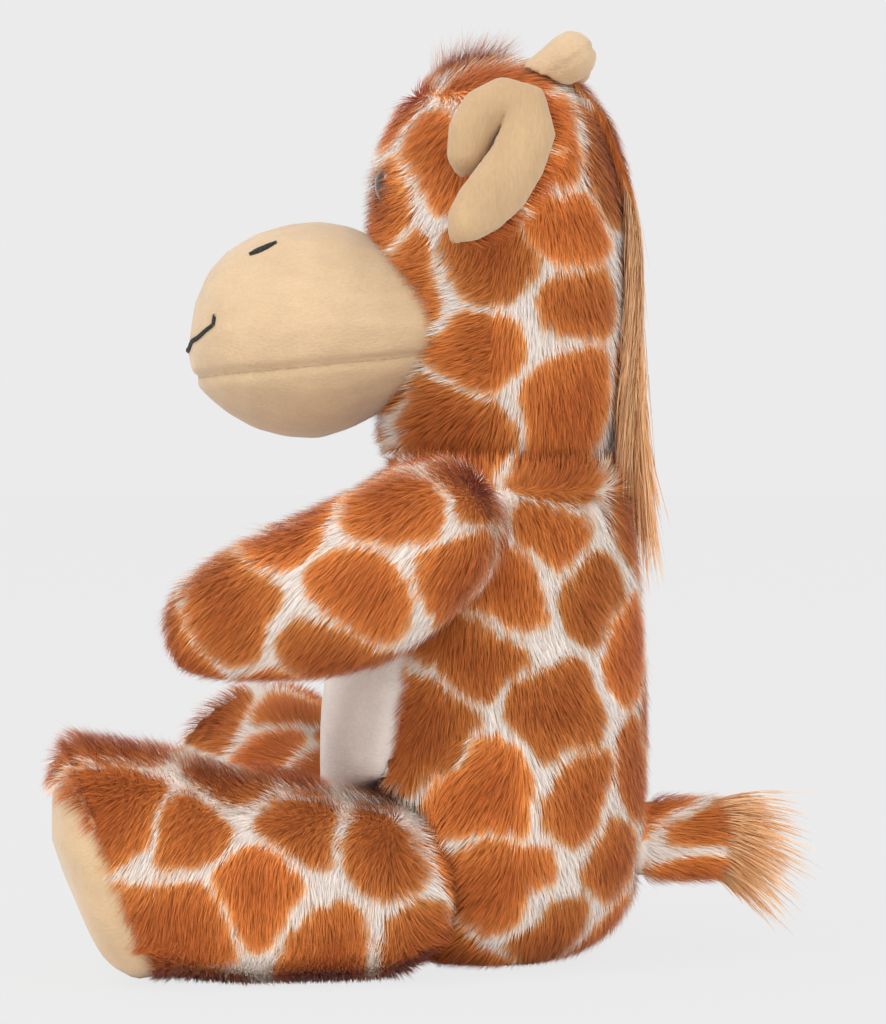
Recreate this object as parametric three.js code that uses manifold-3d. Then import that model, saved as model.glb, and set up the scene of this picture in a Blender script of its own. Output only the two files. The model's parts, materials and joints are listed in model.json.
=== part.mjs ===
// A plush giraffe, sitting with its legs out in front. Millimetres, +Z up. It faces -Y and its left
// side is +X. The origin is on the floor, at the middle of the flat that the seat rests on.
import * as THREE from "three";
import { mergeVertices } from "three/addons/utils/BufferGeometryUtils.js";
import Module from "manifold-3d";

const wasm = await Module();
wasm.setup();

// Cloths and fits
const furWall = 5; // long-pile cloth, with its pile pressed flat
const shortWall = 2.4; // short-pile cloth of the muzzle, ears and horns
const fit = 0.3; // gap between pieces that are sewn or pushed together
const runFit = 0.4; // gap between pieces that turn on each other
const turnRoom = 3; // room between a limb and the body that it swings past
const floorCut = 0.5; // depth of the flat where a stuffed form stands
const overrun = 8; // what a cut passes its work by
const weld = 1e-4; // points nearer than this are one

// Body
const bodyHeight = 176;
const bodyDepth = 107.5;
const bodyWidth = 123;
const bodyMiddle = 14; // the seat's own middle is this far in front of the origin
const wadRadius = 20; // the loose wad in the neck
const wadThickness = 9;
const pelletWidth = 60;
const pelletDepth = 40;
const pelletHeight = 26;
const pelletBack = 5;

// Neck: the head's round underside sits in a dish in the body
const neckBallRadius = 45;
const neckHeight = 190;
const neckBack = -9;

// Head
const headBottom = 140;
const headTall = 150.5;
const headDepth = 82;
const headWidth = 95;

// Muzzle
const muzzleLength = 89;
const muzzleFront = -111;
const muzzleWidth = 80;
const muzzleTall = 71.5;
const muzzleHeight = 202; // height of its middle
const chinSeamFront = 186.3; // height of the seam between the lip and the chin, at the front
const chinSeamRise = 8.3; // and how far it climbs to the back
const nostrilLength = 10;
const nostrilWidth = 2.6;
const nostrilThick = 1.4;
const nostrilOut = 23.5;
const nostrilHeight = 227;
const nostrilRise = 4.2;
const nostrilSplay = 3;
const mouthOut = 25.5;
const mouthLow = 195.5;
const mouthRise = 8;
const mouthTick = 3;
const threadThick = 1.5;

// Eyes
const eyeRadius = 6;
const eyeDome = 4.2;
const eyeSink = 1.6;
const eyeOut = 17;
const eyeHeight = 248;
const eyeTurn = 8; // degrees that each looks out to its side
const stemRadius = 1.6;
const stemLength = 9.5;
const washerRadius = 7;
const washerThick = 1.6;

// Horns
const hornLength = 29;
const hornWidth = 17;
const hornOut = 16;
const hornSpread = 4;
const hornStartBack = -11;
const hornStartDrop = 17.5; // how far below the top of the head it starts
const hornRun = 29.5;
const hornRise = 19.5;

// Ears
const earTall = 46;
const earAcross = 27;
const earTopDrop = 16.1; // from the top of the head down to the ear's top
const earBackEdge = -1.7;
const earClear = 7.5; // how far out from the head the ear's lining starts
const earTipOut = 14;
const earPad = 9;
const earWide = 20;
const earCloth = 3.6;
const earRootRadius = 6;
const earRootSunk = 1;
const earRootDrop = 26.5;
const earRootBack = -4;

// Mane
const maneWidth = 22;
const maneTopDrop = 7.5; // from the top of the head down to where the hair starts
const maneGap = 4; // between its sewn end and the body, for the nod
const maneHair = 7;
const maneStripThick = 1.2;
const maneFallLength = 57;
const maneFallBack = 9;

// Arms
const shoulderOut = 48;
const shoulderBack = -30;
const shoulderHeight = 140;
const shoulderRadius = 23;
const armReach = 101.5;
const armDrop = 47.5;
const armWidth = 40;
const armThickness = 52;
const armOut = 68;
const pawInward = 14; // how far the paw turns in
const armBackEnd = -13.5;
const armTop = 151.5;

// Legs
const hipOut = 40;
const hipBack = -45;
const hipHeight = 33;
const hipRadius = 25;
const legReach = 87;
const footHeight = 80;
const footWidth = 77;
const soleDome = 15;
const soleTilt = 22; // degrees that the sole's top leans forward
const legSplayLeft = 6; // degrees
const legSplayRight = 62; // degrees
const hipUp = 5; // degrees that a leg lifts from its place
const hipDown = 35; // and hangs down from it
const hipStops = 3;

// Tail
const tailHeight = 38;
const tailSunk = 5.86; // depth of its root in the back of the body
const tailRoot = 10;
const tailLength = 36;
const tailWidth = 26.5;
const tailWag = 25; // degrees to each side
const tuftLength = 44;
const tuftDrop = 19;

// Faceting: the outer forms, the inner ones, thin pieces and the balls that turn
const outerSides = 20;
const innerSides = 12;
const smallSides = 10;
const ballSides = 16;

const up = new THREE.Vector3(0, 0, 1);
const across = new THREE.Vector3(1, 0, 0);
const back = new THREE.Vector3(0, 1, 0);
const rad = THREE.MathUtils.degToRad;

// A closed three.js geometry as a solid that can be cut and joined.
function solidOf(geometry) {
  const bare = geometry.clone();
  bare.deleteAttribute("normal");
  bare.deleteAttribute("uv");
  const merged = mergeVertices(bare, weld);
  const mesh = new wasm.Mesh({
    numProp: 3,
    vertProperties: merged.getAttribute("position").array,
    triVerts: new Uint32Array(merged.index.array),
  });
  return new wasm.Manifold(mesh);
}

function geometryOf(solid) {
  const found = solid.getMesh();
  const geometry = new THREE.BufferGeometry();
  const places = new THREE.BufferAttribute(new Float32Array(found.vertProperties), 3);
  geometry.setAttribute("position", places);
  geometry.setIndex(new THREE.BufferAttribute(new Uint32Array(found.triVerts), 1));
  const flat = geometry.toNonIndexed();
  flat.computeVertexNormals();
  return flat;
}

function joined(...solids) {
  return solids.reduce((whole, next) => whole.add(next));
}

function cut(solid, ...tools) {
  return tools.reduce((whole, tool) => whole.subtract(tool), solid);
}

// Rings along a stuffed form: each has a middle and two half widths, and the first and last are points.
function ring(middle, wide = null, tall = null) {
  return { middle, wide, tall };
}

// The same form grown by a margin, or shrunk by a wall if the margin is negative.
function grown(rings, margin) {
  const ends = [rings[0], rings[rings.length - 1]];
  const inner = [rings[1], rings[rings.length - 2]];
  const tips = ends.map((end, i) => {
    const axis = inner[i].wide.clone().cross(inner[i].tall).normalize();
    const out = end.middle.clone().sub(inner[i].middle).dot(axis);
    const way = Math.sign(out) || (i ? 1 : -1);
    return ring(end.middle.clone().addScaledVector(axis, way * margin));
  });
  const kept = rings.slice(1, -1).filter((r) => {
    const fromTips = Math.min(...ends.map((e) => e.middle.distanceTo(r.middle)));
    const least = Math.min(r.wide.length(), r.tall.length());
    return margin >= 0 || (least > -2 * margin && fromTips > -1.5 * margin);
  });
  const sized = kept.map((r) =>
    ring(
      r.middle.clone(),
      r.wide.clone().setLength(r.wide.length() + margin),
      r.tall.clone().setLength(r.tall.length() + margin),
    ),
  );
  return [tips[0], ...sized, tips[1]];
}

// A closed solid over the rings.
function loft(rings, sides) {
  const places = [];
  const faces = [];
  const turns = Array.from({ length: sides }, (_, k) => (2 * Math.PI * k) / sides);
  const body = rings.slice(1, -1);
  places.push(rings[0].middle);
  for (const r of body) {
    for (const turn of turns) {
      const place = r.middle.clone().addScaledVector(r.wide, Math.cos(turn));
      places.push(place.addScaledVector(r.tall, Math.sin(turn)));
    }
  }
  places.push(rings[rings.length - 1].middle);
  const last = places.length - 1;
  for (let k = 0; k < sides; k++) {
    const next = (k + 1) % sides;
    faces.push(0, 1 + next, 1 + k);
    for (let i = 0; i + 1 < body.length; i++) {
      const low = 1 + i * sides;
      const high = low + sides;
      faces.push(low + k, low + next, high + next);
      faces.push(low + k, high + next, high + k);
    }
    const top = last - sides;
    faces.push(top + k, top + next, last);
  }
  const geometry = new THREE.BufferGeometry().setFromPoints(places);
  const made = solidOf(geometry.setIndex(faces));
  return made.volume() > 0 ? made : solidOf(geometry.setIndex(faces.toReversed()));
}

// Rings of a limb: each row is a place, a half width across and a half height square to its run,
// and the first and last rows are only places.
function limbRings(rows, sideways) {
  return rows.map((row, i) => {
    if (!row.wide) return ring(row.at);
    const run = rows[i + 1].at.clone().sub(rows[i - 1].at).normalize();
    const tall = run.clone().cross(sideways).normalize();
    const wide = tall.clone().cross(run).normalize();
    return ring(row.at, wide.multiplyScalar(row.wide), tall.multiplyScalar(row.tall));
  });
}

function ballAt(place, radius, sides = ballSides) {
  const ball = new THREE.SphereGeometry(radius, sides, sides / 2);
  return solidOf(ball.rotateX(Math.PI / 2).translate(place.x, place.y, place.z));
}

// The room that a ball turns in: its flats lie outside the ball at every turn.
function socketAt(place, radius, sides = ballSides) {
  return ballAt(place, (radius + runFit) / Math.cos(Math.PI / sides) ** 2, sides);
}

// A round bar from one place to another.
function barBetween(from, to, radius) {
  const bar = new THREE.CylinderGeometry(radius, radius, from.distanceTo(to), outerSides);
  const turn = new THREE.Quaternion().setFromUnitVectors(back, to.clone().sub(from).normalize());
  const middle = from.clone().add(to).divideScalar(2);
  return solidOf(bar.applyQuaternion(turn).translate(middle.x, middle.y, middle.z));
}

// A block far larger than the piece, on the side of a plane that the normal points to.
function blockBeyond(place, normal) {
  const reach = 2 * bodyHeight;
  const block = new THREE.BoxGeometry(reach, reach, reach).translate(0, 0, reach / 2);
  const turn = new THREE.Quaternion().setFromUnitVectors(up, normal.clone().normalize());
  return solidOf(block.applyQuaternion(turn).translate(place.x, place.y, place.z));
}

// A closed outline of [Y, Z] places, pushed out to both sides of the middle.
function slabAlongX(outline, width) {
  const shape = new THREE.Shape(outline.map(([y, z]) => new THREE.Vector2(y, z)));
  const slab = new THREE.ExtrudeGeometry(shape, { depth: width, bevelEnabled: false });
  slab.translate(0, 0, -width / 2).rotateY(Math.PI / 2).rotateX(Math.PI / 2);
  return solidOf(slab);
}

// The value in a column of a table at a place in its first column.
function readTable(rows, at, column) {
  const i = rows.findIndex((row) => row[0] >= at);
  if (i <= 0) return rows[i < 0 ? rows.length - 1 : 0][column];
  const [low, high] = [rows[i - 1], rows[i]];
  const part = (at - low[0]) / (high[0] - low[0]);
  return low[column] + part * (high[column] - low[column]);
}

const root = new THREE.Group();

function addPiece(group, name, solid, colour, roughness = 0.95) {
  const material = new THREE.MeshStandardMaterial({ color: colour, roughness, metalness: 0 });
  const mesh = new THREE.Mesh(geometryOf(solid), material);
  mesh.name = name;
  group.add(mesh);
}

const furColour = "#b8642e";
const beigeColour = "#e6cda0";
const bellyColour = "#dcd3c8";
const hairColour = "#c98a58";
const fillColour = "#f4f2ee";
const threadColour = "#1e2420";

// Body: share of height, then back edge and front edge as shares of depth, and half width of width.
const bodyShares = [
  [0, 0.09, 0.35, 0.24],
  [0.025, 0.19, 0.45, 0.335],
  [0.07, 0.28, 0.52, 0.41],
  [0.13, 0.328, 0.578, 0.458],
  [0.215, 0.352, 0.622, 0.491],
  [0.32, 0.358, 0.642, 0.5],
  [0.43, 0.358, 0.642, 0.495],
  [0.54, 0.353, 0.623, 0.466],
  [0.65, 0.344, 0.586, 0.427],
  [0.765, 0.326, 0.53, 0.39],
  [0.85, 0.307, 0.484, 0.358],
  [0.92, 0.288, 0.451, 0.321],
  [0.966, 0.251, 0.409, 0.28],
];
const bodyRings = [
  ring(new THREE.Vector3(0, -bodyMiddle, -floorCut)),
  ...bodyShares.map(([height, rear, front, half]) => {
    const z = height * (bodyHeight + floorCut) - floorCut;
    const middle = new THREE.Vector3(0, ((rear - front) * bodyDepth) / 2, z);
    const deep = ((rear + front) * bodyDepth) / 2;
    return ring(middle, across.clone().multiplyScalar(half * bodyWidth), back.clone().multiplyScalar(deep));
  }),
  ring(new THREE.Vector3(0, neckBack, bodyHeight)),
];
const belowFloor = blockBeyond(new THREE.Vector3(0, 0, 0), up.clone().negate());
const bodyForm = cut(loft(bodyRings, outerSides), belowFloor);
const bodyHollow = loft(grown(bodyRings, -furWall), innerSides);
const bodyFill = loft(grown(bodyRings, -furWall - fit), innerSides);

// The neck's dish, and the wad of stuffing between the dish and the head's stuffing.
const neckMiddle = new THREE.Vector3(0, neckBack, neckHeight);
const neckDish = socketAt(neckMiddle, neckBallRadius, outerSides);
const dishFloor = neckMiddle.clone().addScaledVector(up, -neckBallRadius - wadThickness - overrun);
const wadBar = barBetween(dishFloor, neckMiddle, wadRadius);
const wadBall = ballAt(neckMiddle, neckBallRadius + wadThickness, outerSides);
const wadPocketBar = barBetween(dishFloor, neckMiddle, wadRadius + fit);
const wadPocketBall = ballAt(neckMiddle, neckBallRadius + wadThickness + fit, outerSides);
const neckWad = cut(wadBall.intersect(wadBar), neckDish);
const wadPocket = wadPocketBall.intersect(wadPocketBar);

// Hips: each leg starts in a ball that turns in a socket of the body.
const legs = [
  { name: "left", side: 1, splay: legSplayLeft },
  { name: "right", side: -1, splay: legSplayRight },
];
for (const leg of legs) {
  leg.hip = new THREE.Vector3(leg.side * hipOut, hipBack, hipHeight);
  const turn = rad(leg.splay);
  leg.run = new THREE.Vector3(leg.side * Math.sin(turn), -Math.cos(turn), 0);
  leg.axis = up.clone().cross(leg.run);
  leg.socket = socketAt(leg.hip, hipRadius);
}

// Shoulders: a flat on the body's side for each arm to turn on.
const arms = [
  { name: "left", side: 1 },
  { name: "right", side: -1 },
];
for (const arm of arms) {
  arm.seat = new THREE.Vector3(arm.side * shoulderOut, shoulderBack, shoulderHeight);
  arm.outward = across.clone().multiplyScalar(arm.side);
  const flat = arm.seat.clone().addScaledVector(arm.outward, -runFit);
  const flatEnd = flat.clone().addScaledVector(arm.outward, armWidth);
  arm.flat = barBetween(flat, flatEnd, shoulderRadius + furWall);
}

// The tail's root is a ball in a socket of the body's back.
const bodyRearAt = (z) => readTable(bodyShares, (z + floorCut) / (bodyHeight + floorCut), 1) * bodyDepth;
const tailPlace = new THREE.Vector3(0, bodyRearAt(tailHeight) - tailSunk, tailHeight);
const tailSocket = socketAt(tailPlace, tailRoot);

const bodyCuts = [neckDish, tailSocket, ...legs.map((leg) => leg.socket), ...arms.map((arm) => arm.flat)];
const bodySkin = cut(bodyForm, bodyHollow, ...bodyCuts);

// The belly panel: the front of the body, back to a seam given as share of height and depth.
const bellySeamShares = [
  [0.08, 0.515],
  [0.16, 0.485],
  [0.3, 0.44],
  [0.38, 0.4],
  [0.5, 0.36],
  [0.64, 0.32],
  [0.78, 0.335],
  [0.9, 0.4],
  [0.96, 0.48],
];
function bellyRegion(margin) {
  const seam = bellySeamShares.map(([height, front]) => [-front * bodyDepth + margin, height * bodyHeight]);
  const [low, high] = [seam[0][1] - margin, seam[seam.length - 1][1] + margin];
  seam[0][1] = low;
  seam[seam.length - 1][1] = high;
  return slabAlongX([[-bodyDepth, low], ...seam, [-bodyDepth, high]], 2 * bodyWidth);
}
function pelletBag(margin) {
  const bag = new THREE.SphereGeometry(1, innerSides, innerSides / 2);
  bag.scale(pelletWidth / 2 + margin, pelletDepth / 2 + margin, pelletHeight / 2 + margin);
  return solidOf(bag.translate(0, pelletBack, pelletHeight / 2));
}
addPiece(root, "body_cover", cut(bodySkin, bellyRegion(fit)), furColour);
addPiece(root, "belly_panel", bodySkin.intersect(bellyRegion(0)), bellyColour);
addPiece(root, "body_stuffing", cut(bodyFill, ...bodyCuts, wadPocket, pelletBag(fit)), fillColour);
addPiece(root, "pellet_bag", pelletBag(0).intersect(bodyFill), fillColour);
addPiece(root, "neck_stuffing", neckWad, fillColour);

// All of the head's pieces are in one group.
const head = new THREE.Group();
root.add(head);

// Head: share of height, back edge and front edge as shares of depth, half width of width.
const headTop = headBottom + headTall;
const headShares = [
  [0.03, 0.29, 0.5, 0.33],
  [0.18, 0.355, 0.573, 0.38],
  [0.3, 0.378, 0.585, 0.422],
  [0.43, 0.39, 0.588, 0.464],
  [0.565, 0.39, 0.602, 0.495],
  [0.7, 0.372, 0.61, 0.5],
  [0.785, 0.33, 0.592, 0.484],
  [0.865, 0.274, 0.549, 0.442],
  [0.93, 0.177, 0.457, 0.358],
  [0.978, 0.037, 0.305, 0.211],
];
const headRings = [
  ring(new THREE.Vector3(0, neckBack, headBottom)),
  ...headShares.map(([height, rear, front, half]) => {
    const middle = new THREE.Vector3(0, ((rear - front) * headDepth) / 2, headBottom + height * headTall);
    const deep = ((rear + front) * headDepth) / 2;
    return ring(middle, across.clone().multiplyScalar(half * headWidth), back.clone().multiplyScalar(deep));
  }),
  ring(new THREE.Vector3(0, neckBack, headTop)),
];
// Below the middle of the neck the head stays inside the ball that turns in the dish.
function inNeckBall(solid, radius) {
  const above = blockBeyond(neckMiddle, up);
  const ball = ballAt(neckMiddle, radius, outerSides);
  return solid.intersect(ball).add(solid.intersect(above));
}
const headForm = inNeckBall(loft(headRings, outerSides), neckBallRadius);
const headHollow = loft(grown(headRings, -furWall), innerSides);
const headGrown = loft(grown(headRings, fit), outerSides);
const headFill = inNeckBall(loft(grown(headRings, -furWall - fit), innerSides), neckBallRadius);

// Muzzle: share of length from the front, height of its middle and half height, half width.
const muzzleShares = [
  [0.03, -0.056, 0.187, 0.187],
  [0.079, -0.018, 0.29, 0.288],
  [0.146, -0.007, 0.371, 0.369],
  [0.247, -0.004, 0.446, 0.438],
  [0.364, -0.001, 0.488, 0.475],
  [0.483, 0.003, 0.5, 0.495],
  [0.596, 0.014, 0.466, 0.5],
  [0.708, 0.02, 0.4, 0.495],
  [0.82, 0.02, 0.3, 0.45],
  [0.92, 0.02, 0.19, 0.36],
];
const muzzleTipShares = [0, -0.1, 0, 0];
const muzzleRings = [
  ring(new THREE.Vector3(0, muzzleFront, muzzleHeight + muzzleTipShares[1] * muzzleTall)),
  ...muzzleShares.map(([along, rise, high, half]) => {
    const y = muzzleFront + along * muzzleLength;
    const middle = new THREE.Vector3(0, y, muzzleHeight + rise * muzzleTall);
    const wide = across.clone().multiplyScalar(half * muzzleWidth);
    return ring(middle, wide, up.clone().multiplyScalar(high * muzzleTall));
  }),
  ring(new THREE.Vector3(0, muzzleFront + muzzleLength, muzzleHeight)),
];
// The place on the muzzle's surface at a distance across and a height.
function muzzleSurface(x, z) {
  const table = [muzzleTipShares, ...muzzleShares];
  let [near, far] = [0, muzzleShares[5][0]];
  for (let i = 0; i < outerSides; i++) {
    const along = (near + far) / 2;
    const middle = muzzleHeight + readTable(table, along, 1) * muzzleTall;
    const high = readTable(table, along, 2) * muzzleTall;
    const half = readTable(table, along, 3) * muzzleWidth;
    const inside = (x / half) ** 2 + ((z - middle) / high) ** 2 < 1;
    if (inside) far = along;
    else near = along;
  }
  return new THREE.Vector3(x, muzzleFront + near * muzzleLength, z);
}
const muzzleForm = cut(loft(muzzleRings, outerSides), headGrown);
const muzzleHollow = loft(grown(muzzleRings, -shortWall), innerSides);
const muzzleFill = loft(grown(muzzleRings, -shortWall - fit), innerSides);
const muzzleShell = cut(muzzleForm, muzzleHollow);
const chinPlace = new THREE.Vector3(0, muzzleFront, chinSeamFront);
const chinNormal = new THREE.Vector3(0, -chinSeamRise, muzzleLength).normalize();
const aboveChin = blockBeyond(chinPlace, chinNormal);
const belowChin = blockBeyond(
  chinPlace.clone().addScaledVector(chinNormal, -fit),
  chinNormal.clone().negate(),
);

// Nostrils and mouth: pads and a line of satin stitch, let into the muzzle's pile.
function nostril(side, margin) {
  const steps = [-0.5, -0.3, 0, 0.3, 0.5];
  const stepShares = [0, 0.85, 1, 0.85, 0];
  const rows = steps.map((step, i) => {
    const x = side * (nostrilOut - step * nostrilSplay);
    const at = muzzleSurface(x, nostrilHeight + step * nostrilRise);
    const half = stepShares[i];
    return half
      ? { at, wide: (half * nostrilThick) / 2 + margin, tall: (half * nostrilWidth) / 2 + margin }
      : { at };
  });
  const run = rows[4].at.clone().sub(rows[0].at).normalize();
  const stretch = (nostrilLength - rows[4].at.distanceTo(rows[0].at)) / 2 + margin;
  rows[0].at.addScaledVector(run, -stretch);
  rows[4].at.addScaledVector(run, stretch);
  return loft(limbRings(rows, across), smallSides);
}
const mouthShares = [
  [-1, 1],
  [-0.82, 0.66],
  [-0.5, 0.34],
  [0, 0],
  [0.5, 0.34],
  [0.82, 0.66],
  [1, 1],
];
function mouthLine(thick) {
  const smile = mouthShares.map(([out, rise]) =>
    muzzleSurface(out * mouthOut, mouthLow + rise * mouthRise),
  );
  const ticks = [-1, 1].map((side) => muzzleSurface(side * mouthOut, mouthLow + mouthRise + mouthTick));
  const path = new THREE.CatmullRomCurve3([ticks[0], ...smile, ticks[1]]);
  const circle = new THREE.Shape().absarc(0, 0, thick / 2, 0, 2 * Math.PI, false);
  const stitch = { steps: 3 * smallSides, curveSegments: 3, extrudePath: path, bevelEnabled: false };
  return solidOf(new THREE.ExtrudeGeometry(circle, stitch));
}
const nostrils = [1, -1].map((side) => nostril(side, 0));
const mouth = mouthLine(threadThick);
const faceCuts = [nostril(1, fit), nostril(-1, fit), mouthLine(threadThick + 2 * fit)];
addPiece(head, "muzzle_upper", cut(muzzleShell.intersect(aboveChin), ...faceCuts), beigeColour);
addPiece(head, "muzzle_chin", muzzleShell.intersect(belowChin), beigeColour);
addPiece(head, "muzzle_stuffing", cut(muzzleFill, headHollow, ...faceCuts), fillColour);
addPiece(head, "nostril_left", nostrils[0], threadColour, 0.6);
addPiece(head, "nostril_right", nostrils[1], threadColour, 0.6);
addPiece(head, "mouth_stitch", mouth, threadColour, 0.6);

// Eyes: a dome on a ribbed stem, pushed through the cloth and held by a washer behind it.
const headDeepAt = (z) => readTable(headShares, (z - headBottom) / headTall, 2) * headDepth;
const headHalfAt = (z) => readTable(headShares, (z - headBottom) / headTall, 3) * headWidth;
const headRearAt = (z) => readTable(headShares, (z - headBottom) / headTall, 1) * headDepth;
function lathed(outline) {
  return new THREE.LatheGeometry(
    outline.map(([r, h]) => new THREE.Vector2(r, h)),
    smallSides,
  );
}
const eyeMiddleY = (headRearAt(eyeHeight) - headDeepAt(eyeHeight)) / 2;
const eyeDeep = (headRearAt(eyeHeight) + headDeepAt(eyeHeight)) / 2;
const eyeFront = eyeMiddleY - eyeDeep * Math.sqrt(1 - (eyeOut / headHalfAt(eyeHeight)) ** 2);
const domeShares = [
  [1, 0],
  [0.9, 0.42],
  [0.66, 0.76],
  [0.34, 0.95],
  [0, 1],
];
const eyeOutline = [
  [0, -stemLength],
  [stemRadius, -stemLength],
  [stemRadius, 0],
  ...domeShares.map(([out, rise]) => [out * eyeRadius, rise * eyeDome]),
];
const washerBack = -furWall - washerThick;
const washerOutline = [
  [stemRadius + fit, washerBack],
  [washerRadius, washerBack],
  [washerRadius, washerBack + washerThick],
  [stemRadius + fit, washerBack + washerThick],
  [stemRadius + fit, washerBack],
];
const eyePocketOutline = [
  [0, -stemLength - fit],
  [stemRadius + fit, -stemLength - fit],
  [stemRadius + fit, washerBack - fit],
  [washerRadius + fit, washerBack - fit],
  [washerRadius + fit, washerBack + washerThick + fit],
  [stemRadius + fit, washerBack + washerThick + fit],
  [stemRadius + fit, -fit],
  [eyeRadius + fit, -fit],
  [eyeRadius + fit, overrun],
  [0, overrun],
];
const eyePockets = [];
for (const [name, side] of [["left", 1], ["right", -1]]) {
  const look = back.clone().negate().applyAxisAngle(up, side * rad(eyeTurn));
  const turn = new THREE.Quaternion().setFromUnitVectors(back, look);
  const place = new THREE.Vector3(side * eyeOut, eyeFront, eyeHeight).addScaledVector(look, -eyeSink);
  const set = (outline) =>
    solidOf(lathed(outline).applyQuaternion(turn).translate(place.x, place.y, place.z));
  eyePockets.push(set(eyePocketOutline));
  addPiece(head, `eye_${name}`, set(eyeOutline), "#241a14", 0.1);
  addPiece(head, `eye_washer_${name}`, set(washerOutline), fillColour, 0.5);
}

// Ears: a padded beige leaf bent over like a hook, on a cloth back with a root in the head's side.
// Shares: across the ear to the front, down it, outward, and half width.
const earShares = [
  [0.76, 0.56, -0.2, 0],
  [0.725, 0.44, -0.15, 0.24],
  [0.65, 0.26, -0.1, 0.32],
  [0.5, 0.115, -0.05, 0.33],
  [0.27, 0.03, 0, 0.28],
  [0.03, 0.06, 0.05, 0.28],
  [0, 0.26, 0.15, 0.38],
  [0.13, 0.46, 0.35, 0.4],
  [0.33, 0.64, 0.6, 0.425],
  [0.56, 0.79, 0.8, 0.38],
  [0.74, 0.9, 0.93, 0.26],
  [0.88, 1, 1, 0],
];
const earBackShares = [
  [0.2, -0.1, -0.05, 0],
  [0.1, 0, 0, 0.36],
  [0, 0.2, 0.1, 0.46],
  [0.09, 0.44, 0.3, 0.44],
  [0.31, 0.64, 0.6, 0.45],
  [0.55, 0.79, 0.8, 0.4],
  [0.74, 0.9, 0.93, 0.27],
  [0.88, 1, 1, 0],
];
function earLeaf(side, shares, inward, thick) {
  const rows = shares.map(([forward, down, out, half]) => {
    const x = side * (headWidth / 2 + earClear + out * earTipOut - inward);
    const at = new THREE.Vector3(x, earBackEdge - forward * earAcross, headTop - earTopDrop - down * earTall);
    return half ? { at, wide: thick / 2, tall: half * earWide } : { at };
  });
  return loft(limbRings(rows, across.clone().multiplyScalar(side)), smallSides);
}
const earSockets = [];
for (const [name, side] of [["left", 1], ["right", -1]]) {
  const rootOut = headWidth / 2 - earRootSunk;
  const rootPlace = new THREE.Vector3(side * rootOut, earRootBack, headTop - earRootDrop);
  const rootBall = ballAt(rootPlace, earRootRadius, smallSides);
  const inward = earPad / 2 + fit + earCloth / 2;
  const cloth = joined(earLeaf(side, earBackShares, inward, earCloth), rootBall);
  const lining = earLeaf(side, earShares, 0, earPad);
  const room = joined(
    earLeaf(side, earBackShares, inward, earCloth + 2 * fit),
    ballAt(rootPlace, earRootRadius + fit, smallSides),
  );
  earSockets.push(socketAt(rootPlace, earRootRadius, smallSides));
  addPiece(head, `ear_back_${name}`, cut(cloth, headGrown.subtract(earSockets.at(-1))), furColour);
  addPiece(head, `ear_lining_${name}`, cut(lining, room), beigeColour);
}

const headCuts = [...eyePockets, ...earSockets];
addPiece(head, "head_cover", cut(headForm, headHollow, muzzleHollow, ...headCuts), furColour);
addPiece(head, "head_stuffing", cut(headFill, ...headCuts), fillColour);

// Horns: short stubs of beige cloth, leaning back from the top of the head.
const hornShares = [
  [0, 0],
  [0.1, 0.36],
  [0.3, 0.42],
  [0.55, 0.43],
  [0.74, 0.5],
  [0.88, 0.46],
  [0.965, 0.27],
  [1, 0],
];
for (const [name, side] of [["left", 1], ["right", -1]]) {
  const start = new THREE.Vector3(side * hornOut, hornStartBack, headTop - hornStartDrop);
  const way = new THREE.Vector3(side * hornSpread, hornRun, hornRise).normalize();
  const rows = hornShares.map(([along, half]) => {
    const at = start.clone().addScaledVector(way, along * (hornLength + overrun));
    return half ? { at, wide: half * hornWidth, tall: half * hornWidth } : { at };
  });
  const rings = limbRings(rows, across);
  const hollow = loft(grown(rings, -shortWall), smallSides);
  const fill = loft(grown(rings, -shortWall - fit), smallSides);
  addPiece(head, `horn_${name}`, cut(loft(rings, innerSides), hollow, headGrown), beigeColour);
  addPiece(head, `horn_stuffing_${name}`, cut(fill, headGrown), fillColour);
}

// Mane: long hair on a cloth strip down the back of the head, its end hanging free behind the neck.
// Shares: down the head, and how thick the hair lies there.
const maneShares = [
  [0, 0.95],
  [0.11, 0.7],
  [0.28, 0.42],
  [0.5, 0.36],
  [0.8, 0.42],
  [1, 0.46],
];
const maneTop = headTop - maneTopDrop;
const maneLow = bodyHeight + maneGap;
const headHeights = headShares.map(([height]) => headBottom + height * headTall).reverse();
const maneHeights = [maneTop, ...headHeights.filter((z) => z < maneTop && z > maneLow), maneLow];
function maneLayer(over, width, past) {
  const rows = maneHeights.map((z) => {
    const down = (maneTop - z) / (maneTop - maneLow);
    return { z: z + past * (1 - 2 * down), rear: headRearAt(z), thick: readTable(maneShares, down, 1) };
  });
  const outside = rows.map(({ z, rear, thick }) => [rear + over(thick), z]);
  const inside = rows.map(({ z, rear }) => [rear - maneHair - past, z]);
  return cut(slabAlongX(outside.concat(inside.reverse()), width), headGrown);
}
const stripOut = fit + maneStripThick;
const maneBacking = maneLayer(() => stripOut, maneWidth, 0);
const maneRoom = maneLayer(() => stripOut + fit, maneWidth + overrun, fit);
const manePile = maneLayer((thick) => stripOut + thick * maneHair, maneWidth, 0);
addPiece(head, "mane_strip", maneBacking, "#8a5a34");
addPiece(head, "mane_pile", cut(manePile, maneRoom), hairColour);
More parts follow.
